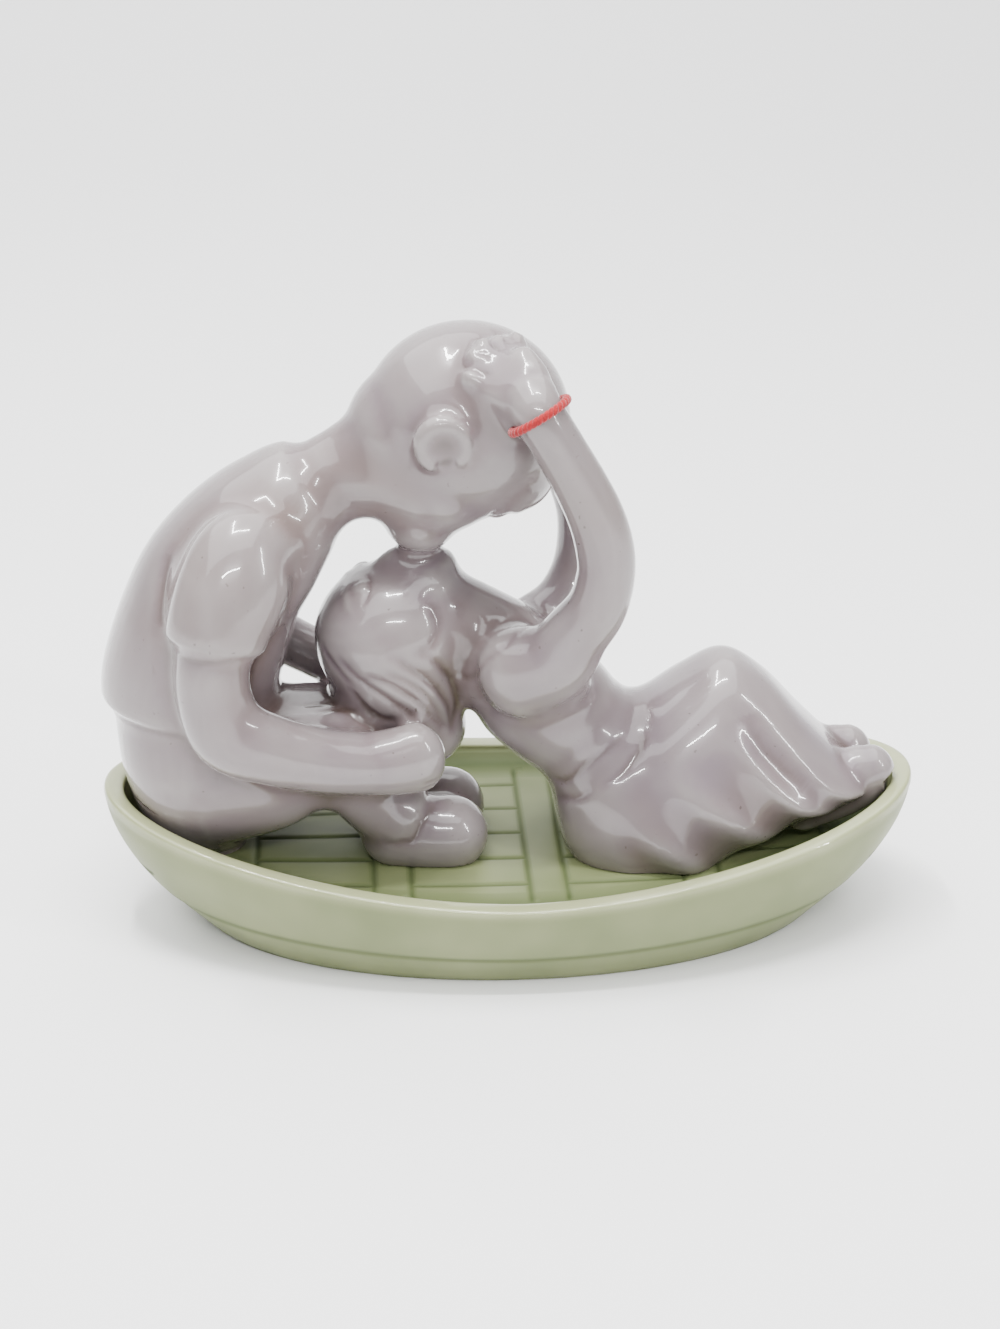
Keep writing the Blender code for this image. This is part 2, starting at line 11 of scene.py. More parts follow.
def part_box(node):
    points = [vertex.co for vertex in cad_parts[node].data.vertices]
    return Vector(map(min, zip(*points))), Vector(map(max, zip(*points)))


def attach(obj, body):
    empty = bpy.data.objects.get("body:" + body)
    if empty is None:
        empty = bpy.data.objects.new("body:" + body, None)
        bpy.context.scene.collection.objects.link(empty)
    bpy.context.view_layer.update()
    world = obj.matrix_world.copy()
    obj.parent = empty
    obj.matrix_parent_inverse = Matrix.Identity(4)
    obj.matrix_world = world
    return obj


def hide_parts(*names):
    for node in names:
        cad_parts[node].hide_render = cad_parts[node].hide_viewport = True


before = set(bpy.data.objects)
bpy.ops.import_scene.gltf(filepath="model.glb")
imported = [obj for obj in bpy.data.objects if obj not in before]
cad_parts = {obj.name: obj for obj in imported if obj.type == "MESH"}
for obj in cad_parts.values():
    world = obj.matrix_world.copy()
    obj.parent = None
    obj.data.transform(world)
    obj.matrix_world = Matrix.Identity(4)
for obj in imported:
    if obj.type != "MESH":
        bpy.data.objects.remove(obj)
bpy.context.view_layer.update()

MM = 0.001


# The dish
# Slip-cast porcelain in the shape of a boat, on a foot ring, under a pale celadon glaze that
# thins on the rim and pools in the cove of the wall and in the plank seams of the floor. The
# thin glaze's pale colour on the rim is partly a painted highlight line.

dish_low, dish_high = (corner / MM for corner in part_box("dish"))
DISH_LENGTH = dish_high.x - dish_low.x
DISH_BEAM = dish_high.y - dish_low.y
RIM_HEIGHT = 24.0
RIM_SHEER = 13.8
SHEER_POWER = 1.6
BASE_LENGTH = 150.0
BASE_BEAM = 76.0
RIM_WIDTH = 5.0
RIM_ROUND = 0.06
RIM_SQUARENESS = 3.4
FLOOR_HEIGHT = 20.0
FLOOR_THICKNESS = 6.0
FLOOR_INSET = 3.0
COVE = 1.2
FOOT_RING_WIDTH = 6.5
RECESS_TAPER = 3.0
EDGE_ROUND = 1.2
STRAKE_SHARE = 0.34
STRAKE_STEP = 0.5
STRAKE_GROOVE = 0.3
STRAKE_SPREAD = 0.014
DISH_SIDES = 240
HULL_RINGS = 36
WALL_SHARES = (0.55, 0.45, 0.36, 0.28, 0.2, 0.13, 0.08, 0.04, 0.015, 0.0)
PLANK_WIDTH = 13.1
BOARD_WIDTH = 9.0
BOARD_PITCH = 37.5
BOARD_OFFSET = 7.5
GROOVE_WIDTH = 1.6
GROOVE_DEPTH = 0.38
GRID_STEP = 3.0
GRID_OVERLAP = 1.25
GROOVE_LINES = (-1.3, -0.8, -0.45, -0.2, 0, 0.2, 0.45, 0.8, 1.3)
GROOVE_CLEARANCE = 1.6
FURROW_SHARE = 0.42
GROOVES_END = 0.93
GROOVES_FADE = 0.06
INNER_EDGE = 1.005
COVE_START = 0.72
COVE_SPAN = 0.2
BARE_AND_HIGHLIGHTED_RIM = 0.1
RIM_FADE = 0.12
GLAZE_ON_FLATS = 0.3
GLAZE_IN_SEAMS = 0.5
GLAZE_ON_HULL = 0.25
GLAZE_IN_STRAKE = 0.35
# The thin colour is partly thin celadon on the rim and partly a painted highlight.
CELADON_THIN_AND_HIGHLIGHT = (0.30, 0.32, 0.17, 1.0)
CELADON_BODY = (0.138, 0.163, 0.07, 1.0)
CELADON_POOLED = (0.046, 0.066, 0.017, 1.0)
KILN_BROWN = (0.13, 0.095, 0.035, 1.0)
KILN_MARK_PLACE = (-0.091, 0.012, 0.026)
KILN_MARK_RADIUS = 0.012
KILN_MARK_GAIN = 110.0


class Field:
    """A shader socket that takes Python's own arithmetic, which adds its Math nodes."""

    def __init__(self, finish, socket):
        self.finish = finish
        self.socket = socket

    def math(self, operation, *values, clamp=False):
        node = self.finish.node("Math", {"operation": operation, "use_clamp": clamp}, dict(enumerate(values)))
        return Field(self.finish, node.outputs[0])

    def __add__(self, other):
        return self.math("ADD", self, other)

    def __sub__(self, other):
        return self.math("SUBTRACT", self, other)

    def __rsub__(self, other):
        return self.math("SUBTRACT", other, self)

    def __mul__(self, other):
        return self.math("MULTIPLY", self, other)

    __radd__ = __add__
    __rmul__ = __mul__

    def held(self):
        """The same value, kept between 0 and 1."""
        return self.math("ADD", self, 0.0, clamp=True)


class Finish:
    """A Principled material, with plain values on its sockets and nodes for what varies."""

    def __init__(self, name, **plain):
        self.material = bpy.data.materials.new(name)
        self.material.use_nodes = True
        self.tree = self.material.node_tree
        self.shader = self.tree.nodes["Principled BSDF"]
        for socket, value in plain.items():
            self.shader.inputs[socket.replace("_", " ")].default_value = value

    def node(self, kind, settings, values):
        """Any node: its type, its settings, then the values or links of its sockets."""
        made = self.tree.nodes.new("ShaderNode" + kind)
        for setting, value in settings.items():
            setattr(made, setting, value)
        for socket, value in values.items():
            if isinstance(value, Field):
                self.tree.links.new(value.socket, made.inputs[socket])
            else:
                made.inputs[socket].default_value = value
        return made

    def field(self, kind, settings, values, output=0):
        return Field(self, self.node(kind, settings, values).outputs[output])

    def place(self):
        """The point on the piece, in metres."""
        return self.field("TexCoord", {}, {}, "Object")

    def noise(self, scale, detail=2.0, roughness=0.5):
        values = {"Vector": self.place(), "Scale": scale, "Detail": detail, "Roughness": roughness}
        return self.field("TexNoise", {}, values, 0)

    def kept(self, name):
        """A number that was stored on the piece's vertices."""
        return self.field("Attribute", {"attribute_name": name}, {}, "Fac")

    def mixed(self, share, first, second):
        """One colour fading into another; a Mix node's colours are its sockets 6 and 7."""
        values = {0: share, 6: first, 7: second}
        return self.field("Mix", {"data_type": "RGBA"}, values, 2)

    def feed(self, socket, value):
        self.tree.links.new(value.socket, self.shader.inputs[socket])

    def bumped(self, height, distance, strength=1.0):
        values = {"Height": height, "Distance": distance, "Strength": strength}
        self.feed("Normal", self.field("Bump", {}, values, "Normal"))


def rim_height(x):
    return RIM_HEIGHT + RIM_SHEER * abs(2 * x / DISH_LENGTH) ** SHEER_POWER


def oval(length, beam, height):
    """A ring of the dish, as a function from an angle to a point; its height may follow x."""
    def point(angle):
        x = length / 2 * math.cos(angle)
        return x, beam / 2 * math.sin(angle), height(x)
    return point


def level(height):
    return lambda x: height


def below_rim(share):
    return lambda x: share * rim_height(x)


def above_floor(share):
    return lambda x: FLOOR_HEIGHT + (rim_height(x) - FLOOR_HEIGHT) * share


def loft(bm, sides, rings):
    """A skin drawn up through rings, with a cap at both ends; gives back the last cap."""
    first = bmesh.ops.create_circle(bm, cap_ends=True, segments=sides, radius=1)
    cap = first["verts"][0].link_faces[0]
    angles = [math.atan2(vert.co.y, vert.co.x) for vert in cap.verts]
    for number, ring in enumerate(rings):
        if number:
            grown = bmesh.ops.extrude_face_region(bm, geom=[cap])["geom"]
            if number > 1:
                bmesh.ops.delete(bm, geom=[cap], context="FACES_ONLY")
            cap = next(part for part in grown if isinstance(part, bmesh.types.BMFace))
        for vert, angle in zip(cap.verts, angles):
            vert.co = ring(angle)
    return cap


def hull_ring(share):
    """The hull swells from base to rim; the planking below the strake is set back a little."""
    swell = math.sin(math.pi / 2 * share)
    off = (share - STRAKE_SHARE) / STRAKE_SPREAD
    set_back = STRAKE_STEP / (1 + math.exp(2 * off)) * min(1, share / STRAKE_SHARE * 2)
    inset = 2 * (set_back + STRAKE_GROOVE * math.exp(-off * off))
    length = BASE_LENGTH + (DISH_LENGTH - BASE_LENGTH) * swell - inset
    beam = BASE_BEAM + (DISH_BEAM - BASE_BEAM) * swell - inset
    return oval(length, beam, below_rim(share))


def rounded(value, squareness):
    return math.copysign(abs(value) ** (2 / squareness), value)


def dish_rings():
    """Recess roof, foot ring, hull, rim and inner wall, down to the edge of the floor."""
    recess = 2 * FOOT_RING_WIDTH
    roof = recess + 2 * RECESS_TAPER
    rings = [oval(BASE_LENGTH - roof, BASE_BEAM - roof, level(FLOOR_HEIGHT - FLOOR_THICKNESS))]
    for turn in (math.radians(a) for a in (0, 30, 60, 90)):
        out = EDGE_ROUND * (1 - math.cos(turn)) - recess
        rings.append(oval(BASE_LENGTH + out, BASE_BEAM + out, level(EDGE_ROUND * (1 - math.sin(turn)))))
    for turn in (math.radians(a) for a in (90, 60, 30)):
        out = EDGE_ROUND * (math.cos(turn) - 1)
        rings.append(oval(BASE_LENGTH + out, BASE_BEAM + out, level(EDGE_ROUND * (1 - math.sin(turn)))))
    lowest = EDGE_ROUND / RIM_HEIGHT
    outer_edge = 1 - RIM_ROUND
    for k in range(HULL_RINGS):
        rings.append(hull_ring(lowest + (outer_edge - lowest) * k / HULL_RINGS))
    for turn in (math.radians(a) for a in range(0, 181, 9)):
        across = (1 - rounded(math.cos(turn), RIM_SQUARENESS)) / 2
        share = outer_edge + RIM_ROUND * rounded(math.sin(turn), RIM_SQUARENESS)
        narrowing = 2 * RIM_WIDTH * across
        rings.append(oval(DISH_LENGTH - narrowing, DISH_BEAM - narrowing, below_rim(share)))
    for share in WALL_SHARES:
        inset = 2 * RIM_WIDTH + 2 * FLOOR_INSET * (1 - share) ** 2 + 2 * COVE * (1 - share) ** 12
        rings.append(oval(DISH_LENGTH - inset, DISH_BEAM - inset, above_floor(share)))
    return rings


FLOOR_HALF_LENGTH = DISH_LENGTH / 2 - RIM_WIDTH - FLOOR_INSET
FLOOR_HALF_BEAM = DISH_BEAM / 2 - RIM_WIDTH - FLOOR_INSET
BOARDS = [
    (BOARD_OFFSET + k * BOARD_PITCH - BOARD_WIDTH / 2, BOARD_OFFSET + k * BOARD_PITCH + BOARD_WIDTH / 2)
    for k in (-2, -1, 0, 1, 2)
]
BOARD_EDGES = [edge for board in BOARDS for edge in board]
SEAMS = [row * PLANK_WIDTH for row in range(-3, 4)]


def taper(x):
    """The planks draw together towards both ends of the floor."""
    return math.sqrt(max(1e-4, math.sqrt(max(0.0, 1 - (x / FLOOR_HALF_LENGTH) ** 2))))


def grid_lines(grooves, reach):
    """Lines that crowd round each groove and lie wider between them."""
    near = [g + GROOVE_WIDTH * s for g in grooves for s in GROOVE_LINES]
    count = int(reach / GRID_STEP)
    between = [k * GRID_STEP for k in range(-count, count + 1)]
    bare = GROOVE_CLEARANCE * GROOVE_WIDTH
    clear = [line for line in between if all(abs(line - g) > bare for g in grooves)]
    return sorted([-reach, reach] + [line for line in near if abs(line) < reach - 1] + clear)


def furrow(distance):
    return math.exp(-((distance / (FURROW_SHARE * GROOVE_WIDTH)) ** 2))


def groove_share(x, row):
    """How deep the floor is pressed at x and at a row across the untapered planks, from 0 to 1."""
    cross = max(furrow(x - edge) for edge in BOARD_EDGES)
    on_board = any(start < x < stop for start, stop in BOARDS)
    seam = 0.0 if on_board else max(furrow((row - seam) * taper(x)) for seam in SEAMS)
    out = math.hypot(x / FLOOR_HALF_LENGTH, row * taper(x) / FLOOR_HALF_BEAM)
    fade = min(1.0, max(0.0, (GROOVES_END - out) / GROOVES_FADE))
    return max(cross, seam) * fade


dish_bm = bmesh.new()
floor_cap = loft(dish_bm, DISH_SIDES, dish_rings())
bmesh.ops.delete(dish_bm, geom=[floor_cap], context="FACES_ONLY")
columns = grid_lines(BOARD_EDGES, FLOOR_HALF_LENGTH)
rows = grid_lines(SEAMS, FLOOR_HALF_BEAM * GRID_OVERLAP)
planks = bmesh.ops.create_grid(
    dish_bm, x_segments=len(columns) - 1, y_segments=len(rows) - 1, size=1,
)["verts"]
outside = []
for vert in planks:
    x = columns[round((vert.co.x + 1) / 2 * (len(columns) - 1))]
    row = rows[round((vert.co.y + 1) / 2 * (len(rows) - 1))]
    y = row * taper(x)
    vert.co = (x, y, FLOOR_HEIGHT - GROOVE_DEPTH * groove_share(x, row))
    if math.hypot(x / (FLOOR_HALF_LENGTH - 2 * COVE), y / (FLOOR_HALF_BEAM - 2 * COVE)) > 1:
        outside.append(vert)
bmesh.ops.delete(dish_bm, geom=outside, context="VERTS")
open_edges = [edge for edge in dish_bm.edges if edge.is_boundary]
bmesh.ops.triangle_fill(dish_bm, use_beauty=True, edges=open_edges)
bmesh.ops.recalc_face_normals(dish_bm, faces=dish_bm.faces)
bmesh.ops.transform(dish_bm, matrix=Matrix.Scale(MM, 4), verts=dish_bm.verts)


def new_piece(name, mesh, finish, node):
    """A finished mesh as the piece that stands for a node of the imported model."""
    mesh.shade_smooth()
    mesh.materials.clear()
    mesh.materials.append(finish.material)
    piece = bpy.data.objects.new(name, mesh)
    bpy.context.scene.collection.objects.link(piece)
    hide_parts(node)
    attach(piece, "root")


def store(mesh, name, numbers):
    """Keeps one number for each vertex, for the finish to read."""
    mesh.attributes.new(name, "FLOAT", "POINT").data.foreach_set("value", numbers)


def glaze_depth_with_rim_highlight(x, y, z):
    """How thickly the celadon lies: thin on the rim, deep in the cove and the seams; the pale thin rim is
    also a painted highlight.
    """
    top = rim_height(x)
    wall = math.hypot(x / (DISH_LENGTH / 2 - RIM_WIDTH), y / (DISH_BEAM / 2 - RIM_WIDTH))
    if wall < INNER_EDGE and z > FLOOR_HEIGHT - 2 * GROOVE_DEPTH:
        down = min(1.0, (top - z) / (top - FLOOR_HEIGHT))
        cove = max(0.0, min(1.0, (wall - COVE_START) / COVE_SPAN))
        pressed = max(0.0, (FLOOR_HEIGHT - z) / GROOVE_DEPTH)
        spread = GLAZE_ON_FLATS + (1 - GLAZE_ON_FLATS) * cove
        return min(1.0, max(0.0, down - BARE_AND_HIGHLIGHTED_RIM) * spread + GLAZE_IN_SEAMS * pressed)
    seam = math.exp(-(((z / top - STRAKE_SHARE) / (2 * STRAKE_SPREAD)) ** 2))
    edge = max(0.0, min(1.0, (1 - z / top) / RIM_FADE))
    return edge * (GLAZE_ON_HULL + GLAZE_IN_STRAKE * seam)


dish_mesh = bpy.data.meshes.new("glazed_dish")
dish_bm.to_mesh(dish_mesh)
dish_bm.free()
store(dish_mesh, "glaze_depth_with_rim_highlight", [glaze_depth_with_rim_highlight(*(vert.co / MM)) for vert in dish_mesh.vertices])

celadon = Finish("celadon_glaze", Specular_IOR_Level=0.3, Coat_Roughness=0.05)
depth = (celadon.kept("glaze_depth_with_rim_highlight") + (celadon.noise(45.0) - 0.5) * 0.25).held()
# Where the glaze is thin, on the rim, its pale colour is partly thin celadon and partly a painted highlight
# line.
thin_and_highlight_to_body = celadon.mixed((depth * 3.0).held(), CELADON_THIN_AND_HIGHLIGHT, CELADON_BODY)
glazed = celadon.mixed(((depth - 0.3) * 1.5).held(), thin_and_highlight_to_body, CELADON_POOLED)
ends = {0: celadon.place(), 1: KILN_MARK_PLACE}
away = celadon.field("VectorMath", {"operation": "DISTANCE"}, ends, "Value")
stain = ((KILN_MARK_RADIUS - away) * KILN_MARK_GAIN).held() * celadon.noise(160.0)
celadon.feed("Base Color", celadon.mixed(stain, glazed, KILN_BROWN))
celadon.feed("Coat Weight", (1.0 - depth * 6.0).held())
celadon.feed("Roughness", ((depth * 1.5).held() + 0.7) * 0.4)
celadon.bumped(celadon.noise(110.0, 1.0), 0.0004, 0.25)
new_piece("glazed_dish", dish_mesh, celadon, "dish")


# The couple
# Two figures as one slip-cast body: rounded masses of clay, fused, softened and dressed with
# creases under a pale grey-lilac glaze.  Places are millimetres over the middle of the dish floor.

SEAT_GAP = 0.3
WALL_CLEARANCE = 0.6
CLAY_VOXEL = 0.72
CLAY_SOFTENING = 5
CREASE_ROUNDS = 84
DETAIL_ROUNDS = 18
NORMAL_ROUNDS = 6
COUPLE_TRIANGLES = 190000
LIMB_SIDES = 40
STEPS_PER_STATION = 8
DOME_ANGLES = (14, 28, 40, 52, 62, 72, 80, 86)
GLAZE_LIT = (0.165, 0.134, 0.148, 1.0)
# The pooled colour below is partly glaze pooled in hollows and partly painted shade.
GLAZE_POOLED_AND_SHADE = (0.068, 0.046, 0.040, 1.0)
GLAZE_BARE = (0.24, 0.215, 0.21, 1.0)
GLAZE_ROSE = (0.163, 0.124, 0.112, 1.0)
IRON_SPECK = (0.055, 0.038, 0.03, 1.0)


def curve_value(values, t):
    """Catmull-Rom value at t, where whole numbers are the stations themselves."""
    i = min(int(t), len(values) - 2)
    f = t - i
    a, b, c, d = (values[max(0, min(len(values) - 1, i + k))] for k in (-1, 0, 1, 2))
    return 0.5 * (2 * b + (c - a) * f + (2 * a - 5 * b + 4 * c - d) * f**2 + (3 * b - 3 * c + d - a) * f**3)


def dome(ring, way):
    """The shrinking rings that round off a limb's end, forwards (1) or backwards (-1)."""
    centre, thick_axis, wide_axis, along, thick, wide = ring
    rings = []
    for angle in (math.radians(a) for a in DOME_ANGLES):
        reach = way * min(thick, wide) * math.sin(angle)
        shrink = math.cos(angle)
        rings.append((centre + along * reach, thick_axis, wide_axis, along, thick * shrink, wide * shrink))
    return rings


def limb_frames(stations, dome_start, dome_end):
    """A matrix for each ring of a limb: the unit circle's place, tilt and two radii."""
    columns = list(zip(*stations))
    count = (len(stations) - 1) * STEPS_PER_STATION
    rows = [[curve_value(column, k / STEPS_PER_STATION) for column in columns] for k in range(count + 1)]
    points = [Vector(row[:3]) for row in rows]
    rings = []
    for k, row in enumerate(rows):
        along = (points[min(k + 1, count)] - points[max(k - 1, 0)]).normalized()
        side = Vector((0, 1, 0))
        side = (side - along * side.dot(along)).normalized()
        rings.append((points[k], side.cross(along), side, along, row[3], row[4]))
    if dome_start:
        rings[:0] = reversed(dome(rings[0], -1))
    if dome_end:
        rings += dome(rings[-1], 1)
    made = []
    for centre, thick_axis, wide_axis, along, thick, wide in rings:
        turn = Matrix((thick_axis * thick, wide_axis * wide, along * max(thick, wide))).transposed().to_4x4()
        made.append(Matrix.Translation(centre) @ turn)
    return made


def add_mass(clay, mass):
    """Adds one finished mass to the clay."""
    mesh = bpy.data.meshes.new("mass")
    mass.to_mesh(mesh)
    mass.free()
    clay.from_mesh(mesh)
    bpy.data.meshes.remove(mesh)


def limb(clay, stations, dome_start=True, dome_end=True, sides=LIMB_SIDES):
    """A closed tube through stations (x, y, z, in-plane radius, radius along Y)."""
    frames = limb_frames(stations, dome_start, dome_end)
    mass = bmesh.new()
    ring = bmesh.ops.create_circle(mass, cap_ends=True, segments=sides, radius=1, matrix=frames[0])
    cap = ring["verts"][0].link_faces[0]
    for number, (before, after) in enumerate(zip(frames, frames[1:])):
        grown = bmesh.ops.extrude_face_region(mass, geom=[cap])["geom"]
        if number:
            bmesh.ops.delete(mass, geom=[cap], context="FACES_ONLY")
        cap = next(part for part in grown if isinstance(part, bmesh.types.BMFace))
        bmesh.ops.transform(mass, matrix=after @ before.inverted(), verts=cap.verts)
    add_mass(clay, mass)


def ball(clay, centre, radii, lean=0.0):
    """An ellipsoid, leaning about Y by an angle in degrees."""
    turn = Matrix.Translation(centre) @ Matrix.Rotation(math.radians(lean), 4, "Y")
    size = Matrix.Diagonal((*radii, 1.0))
    mass = bmesh.new()
    bmesh.ops.create_uvsphere(mass, u_segments=64, v_segments=40, radius=1.0, matrix=turn @ size)
    add_mass(clay, mass)


def across(path):
    """A path's mirror image, on the other side of the figure."""
    return [(x, -y, z) for x, y, z in path]


clay = bmesh.new()

# The man: his shirt, the seat of his trousers and his shoulders
limb(clay, [
    (-78.2, 0, 40.5, 20.9, 21.8), (-77.6, 0, 46, 21.1, 21.8), (-73.4, 0, 59, 20.8, 21.5),
    (-68.7, 0, 70, 19.8, 22), (-60.3, 0, 81, 17.8, 21), (-52, 0, 89.5, 14.6, 17),
    (-46.6, 0, 93.4, 12.2, 12.8),
], dome_start=False, dome_end=False)
limb(clay, [
    (-77.2, 0, 46, 18.8, 20), (-76.4, 0, 34, 19.6, 21.5), (-75.6, 0, 24, 19.4, 22.5),
    (-75, 0, 14, 17.2, 20.5), (-74, 0, 6, 12.5, 15.5), (-73.5, 0, 1, 8, 9),
])
for side in (1, -1):
    ball(clay, (-67, side * 15, 73.5), (13.5, 17, 13.5))

# His lap, and a thigh, a shin and a foot on each side
limb(clay, [
    (-72, -1, 24, 15, 22), (-60, -1, 25.5, 14, 22),
    (-51, -1, 28, 11.8, 21), (-43.5, -1, 29.2, 10, 19.5),
])
limb(clay, [
    (-74, -9.5, 22, 17.5, 13), (-60, -12, 24.5, 15, 12.2),
    (-51, -12.6, 27.6, 12.5, 11.5), (-43.5, -12.6, 29.4, 10.9, 11),
])
limb(clay, [
    (-74, 9.5, 20, 16.5, 13), (-60, 11, 21.5, 13.5, 12.2),
    (-51, 10.6, 24.4, 11.6, 11.2), (-43.5, 10, 26.6, 10.6, 10.6),
])
limb(clay, [
    (-43.5, -12.6, 29.4, 10.9, 11), (-38, -11.8, 22, 9.5, 10),
    (-32.5, -10.8, 15, 9.1, 9.4), (-27, -10.2, 10.5, 9.6, 9.2),
], dome_end=False)
limb(clay, [(-29, -10, 6.5, 9, 8.6), (-22, -10.2, 5.8, 9.2, 9), (-15.4, -10, 5.6, 9.6, 9.3)])
limb(clay, [
    (-43.5, 10, 26.6, 10.6, 10.6), (-38, 9, 20, 9.4, 9.8),
    (-32.5, 8, 13.8, 9.1, 9.4), (-27, 7.2, 9.5, 9.4, 9.2),
], dome_end=False)
limb(clay, [(-29, 7, 5.6, 9, 8.6), (-22, 7, 5, 9.2, 9), (-15.4, 7, 4.8, 9.6, 9.3)])

# His sleeves, his near arm and fist, and his far arm that passes behind her head
limb(clay, [
    (-57, -12, 84, 9, 9), (-62.3, -18.5, 82.5, 12, 10), (-66, -23, 76, 12.5, 10),
    (-68.8, -25.2, 69, 12, 10), (-69.8, -26, 64.5, 11.6, 9.8),
], dome_end=False)
limb(clay, [
    (-58, 10, 80, 8, 9), (-63, 16.5, 77, 11.5, 10), (-66, 22, 72.5, 12, 10),
    (-68.8, 25.2, 67, 11.8, 10), (-69.8, 26, 63, 11.6, 9.8),
], dome_end=False)
limb(clay, [
    (-66, -23, 78, 8.5, 7.5), (-70.4, -26.3, 60, 8.6, 8), (-70.2, -27, 50, 8.8, 8),
    (-66.6, -27.4, 42, 9.4, 8), (-58, -27.4, 38, 8.5, 7.8), (-51.5, -27, 36, 7.9, 7.5),
    (-44.6, -26, 34, 7.6, 7.3), (-35, -24.5, 32.3, 7.3, 7),
])
limb(clay, [(-37, -24.6, 32.4, 7.3, 7), (-29.5, -23.4, 32.2, 8.2, 7), (-23.8, -22.4, 32.8, 8.8, 6.8)])
limb(clay, [
    (-66, 23, 76, 8.5, 7.5), (-70.2, 26.3, 62, 8.4, 8), (-69.6, 27, 55, 8.2, 7.8),
    (-65, 27, 48.6, 7.8, 7.2), (-57, 26, 43.8, 6.6, 6.6), (-50, 25, 40.3, 6.2, 6.3),
    (-42, 24, 36.5, 6.2, 6.2), (-34, 21.5, 34, 6, 6), (-27, 18, 33.5, 6.4, 5),
])

# His bent neck, his head, and a face of plain proportions
MAN_SKULL_CENTRE = Vector((-11.2, 0, 108.8))
MAN_SKULL_RADII = Vector((24.4, 21.5, 23.3))
limb(clay, [
    (-54, 0, 87, 11, 10.5), (-46, 0, 92.5, 10.9, 10.4),
    (-38, 0, 97, 11.2, 10.8), (-29, 0, 102, 12.5, 12.5),
])
limb(clay, [(-14, 0, 103, 20, 18), (-18.5, 0, 93, 14.5, 16.5), (-21.8, 0, 86.5, 9.5, 12)])
limb(clay, [(-42, 0, 96, 10, 11), (-31, 0, 97, 10.8, 14), (-22, 0, 95, 11.5, 16)])
ball(clay, MAN_SKULL_CENTRE, MAN_SKULL_RADII)
ball(clay, (-22, 0, 106), (17.5, 16.5, 17.5))
ball(clay, (-0.5, 0, 97.5), (10.5, 15, 10.5))
limb(clay, [(-8.5, 0, 88.5, 3, 3.2), (-13, 0, 85.2, 2.7, 2.9), (-15.8, 0, 82.9, 2.6, 2.9)])
ball(clay, (-23.6, 0, 79.6), (2.6, 4.6, 2))
for side in (1, -1):
    ball(clay, (-15, side * 2.5, 84.3), (1.7, 1.5, 1.6))

# His ears: a curled rim over a shallow bowl
details = bmesh.new()
EAR_CENTRE = Vector((-17.2, 20.2, 109.6))
EAR_RADIUS = 4.9
EAR_TALLNESS = 1.06
EAR_CURL_START = -40
EAR_CURL_SPAN = 275
EAR_CURL_THIN = 1.6
EAR_CURL_SWELL = 0.9
for side in (1, -1):
    rim = []
    for turn in range(EAR_CURL_START, EAR_CURL_START + EAR_CURL_SPAN + 1, 25):
        a = math.radians(turn)
        thick = EAR_CURL_THIN + EAR_CURL_SWELL * math.sin(math.pi * (turn - EAR_CURL_START) / EAR_CURL_SPAN)
        out = Vector((EAR_RADIUS * math.cos(a), 0, EAR_TALLNESS * EAR_RADIUS * math.sin(a)))
        rim.append((*(Vector((EAR_CENTRE.x, side * (EAR_CENTRE.y + 0.9), EAR_CENTRE.z)) + out), thick, thick))
    limb(details, rim, sides=16)
    ball(details, (EAR_CENTRE.x, side * (EAR_CENTRE.y - 0.6), EAR_CENTRE.z), (EAR_RADIUS, 1.9, EAR_RADIUS))
    ball(details, (EAR_CENTRE.x - 2.6, side * EAR_CENTRE.y, EAR_CENTRE.z - 3.6), (2.4, 1.9, 2.4))

# The woman: her head thrown back, a face of plain proportions, and hair hanging in one bunch
ball(clay, (-28.6, 0, 56), (19.4, 17.8, 17.4), -24.3)
ball(clay, (-23.4, 0, 76.4), (2.6, 4.2, 2.4))
ball(clay, (-17.8, 0, 72.4), (4.6, 7.5, 4.2))
limb(clay, [(-33, 0, 57, 13.5, 15), (-26, 0, 62.5, 12.5, 14.2), (-19.6, 0, 68, 8, 11.5)])
limb(clay, [(-33.6, 0, 70.6, 2, 2.4), (-30.3, 0, 73.4, 2.2, 2.4), (-28.2, 0, 75, 2.3, 2.6)])
for side in (1, -1):
    ball(clay, (-28.6, side * 2.2, 73.8), (1.6, 1.4, 1.5))
limb(clay, [
    (-31, 0, 54.5, 16.8, 18.4), (-28, 0, 46, 15.8, 17.6),
    (-24.3, 0, 37.5, 13, 15.5), (-20.8, 0, 31, 9.8, 12),
])

# Her neck, torso and sash, her near arm with the palm, and her far arm
limb(clay, [(-23, 0, 64, 10, 12), (-12, 0, 60, 8.6, 11.5), (-2, 0, 53, 9.6, 15)])
limb(clay, [
    (-3, 0, 47.2, 12.6, 15.5), (3.4, 0, 42, 15.2, 18), (11.5, 0, 34.2, 15.2, 18),
    (18.4, 0, 26.8, 14.1, 16.6), (25, 0, 19, 15.5, 19),
])
limb(clay, [(16.9, 0, 28.9, 14.6, 17.4), (20.3, 0, 25.3, 14.7, 17.6)])
NEAR_ARM = [
    (0.6, -15.5, 51, 11.6, 9.5), (8.8, -19, 55.6, 9.5, 9), (13.6, -21.5, 63.5, 7.8, 7.8),
    (18, -23.4, 71, 7.1, 7.1), (19.8, -24.2, 79.7, 6.8, 6.8), (19.2, -24.5, 86.5, 6.8, 6.7),
    (17.2, -24.8, 93.4, 6.6, 6.5), (13.8, -25.2, 100.8, 6.3, 6.2), (9.2, -25.7, 109.2, 6, 5.9),
    (3.9, -25.7, 118.2, 6, 5.9), (1.8, -23.4, 122, 6.2, 4.8),
]
limb(clay, NEAR_ARM)
ball(clay, (0.6, -21.4, 117.6), (5.6, 4, 5))
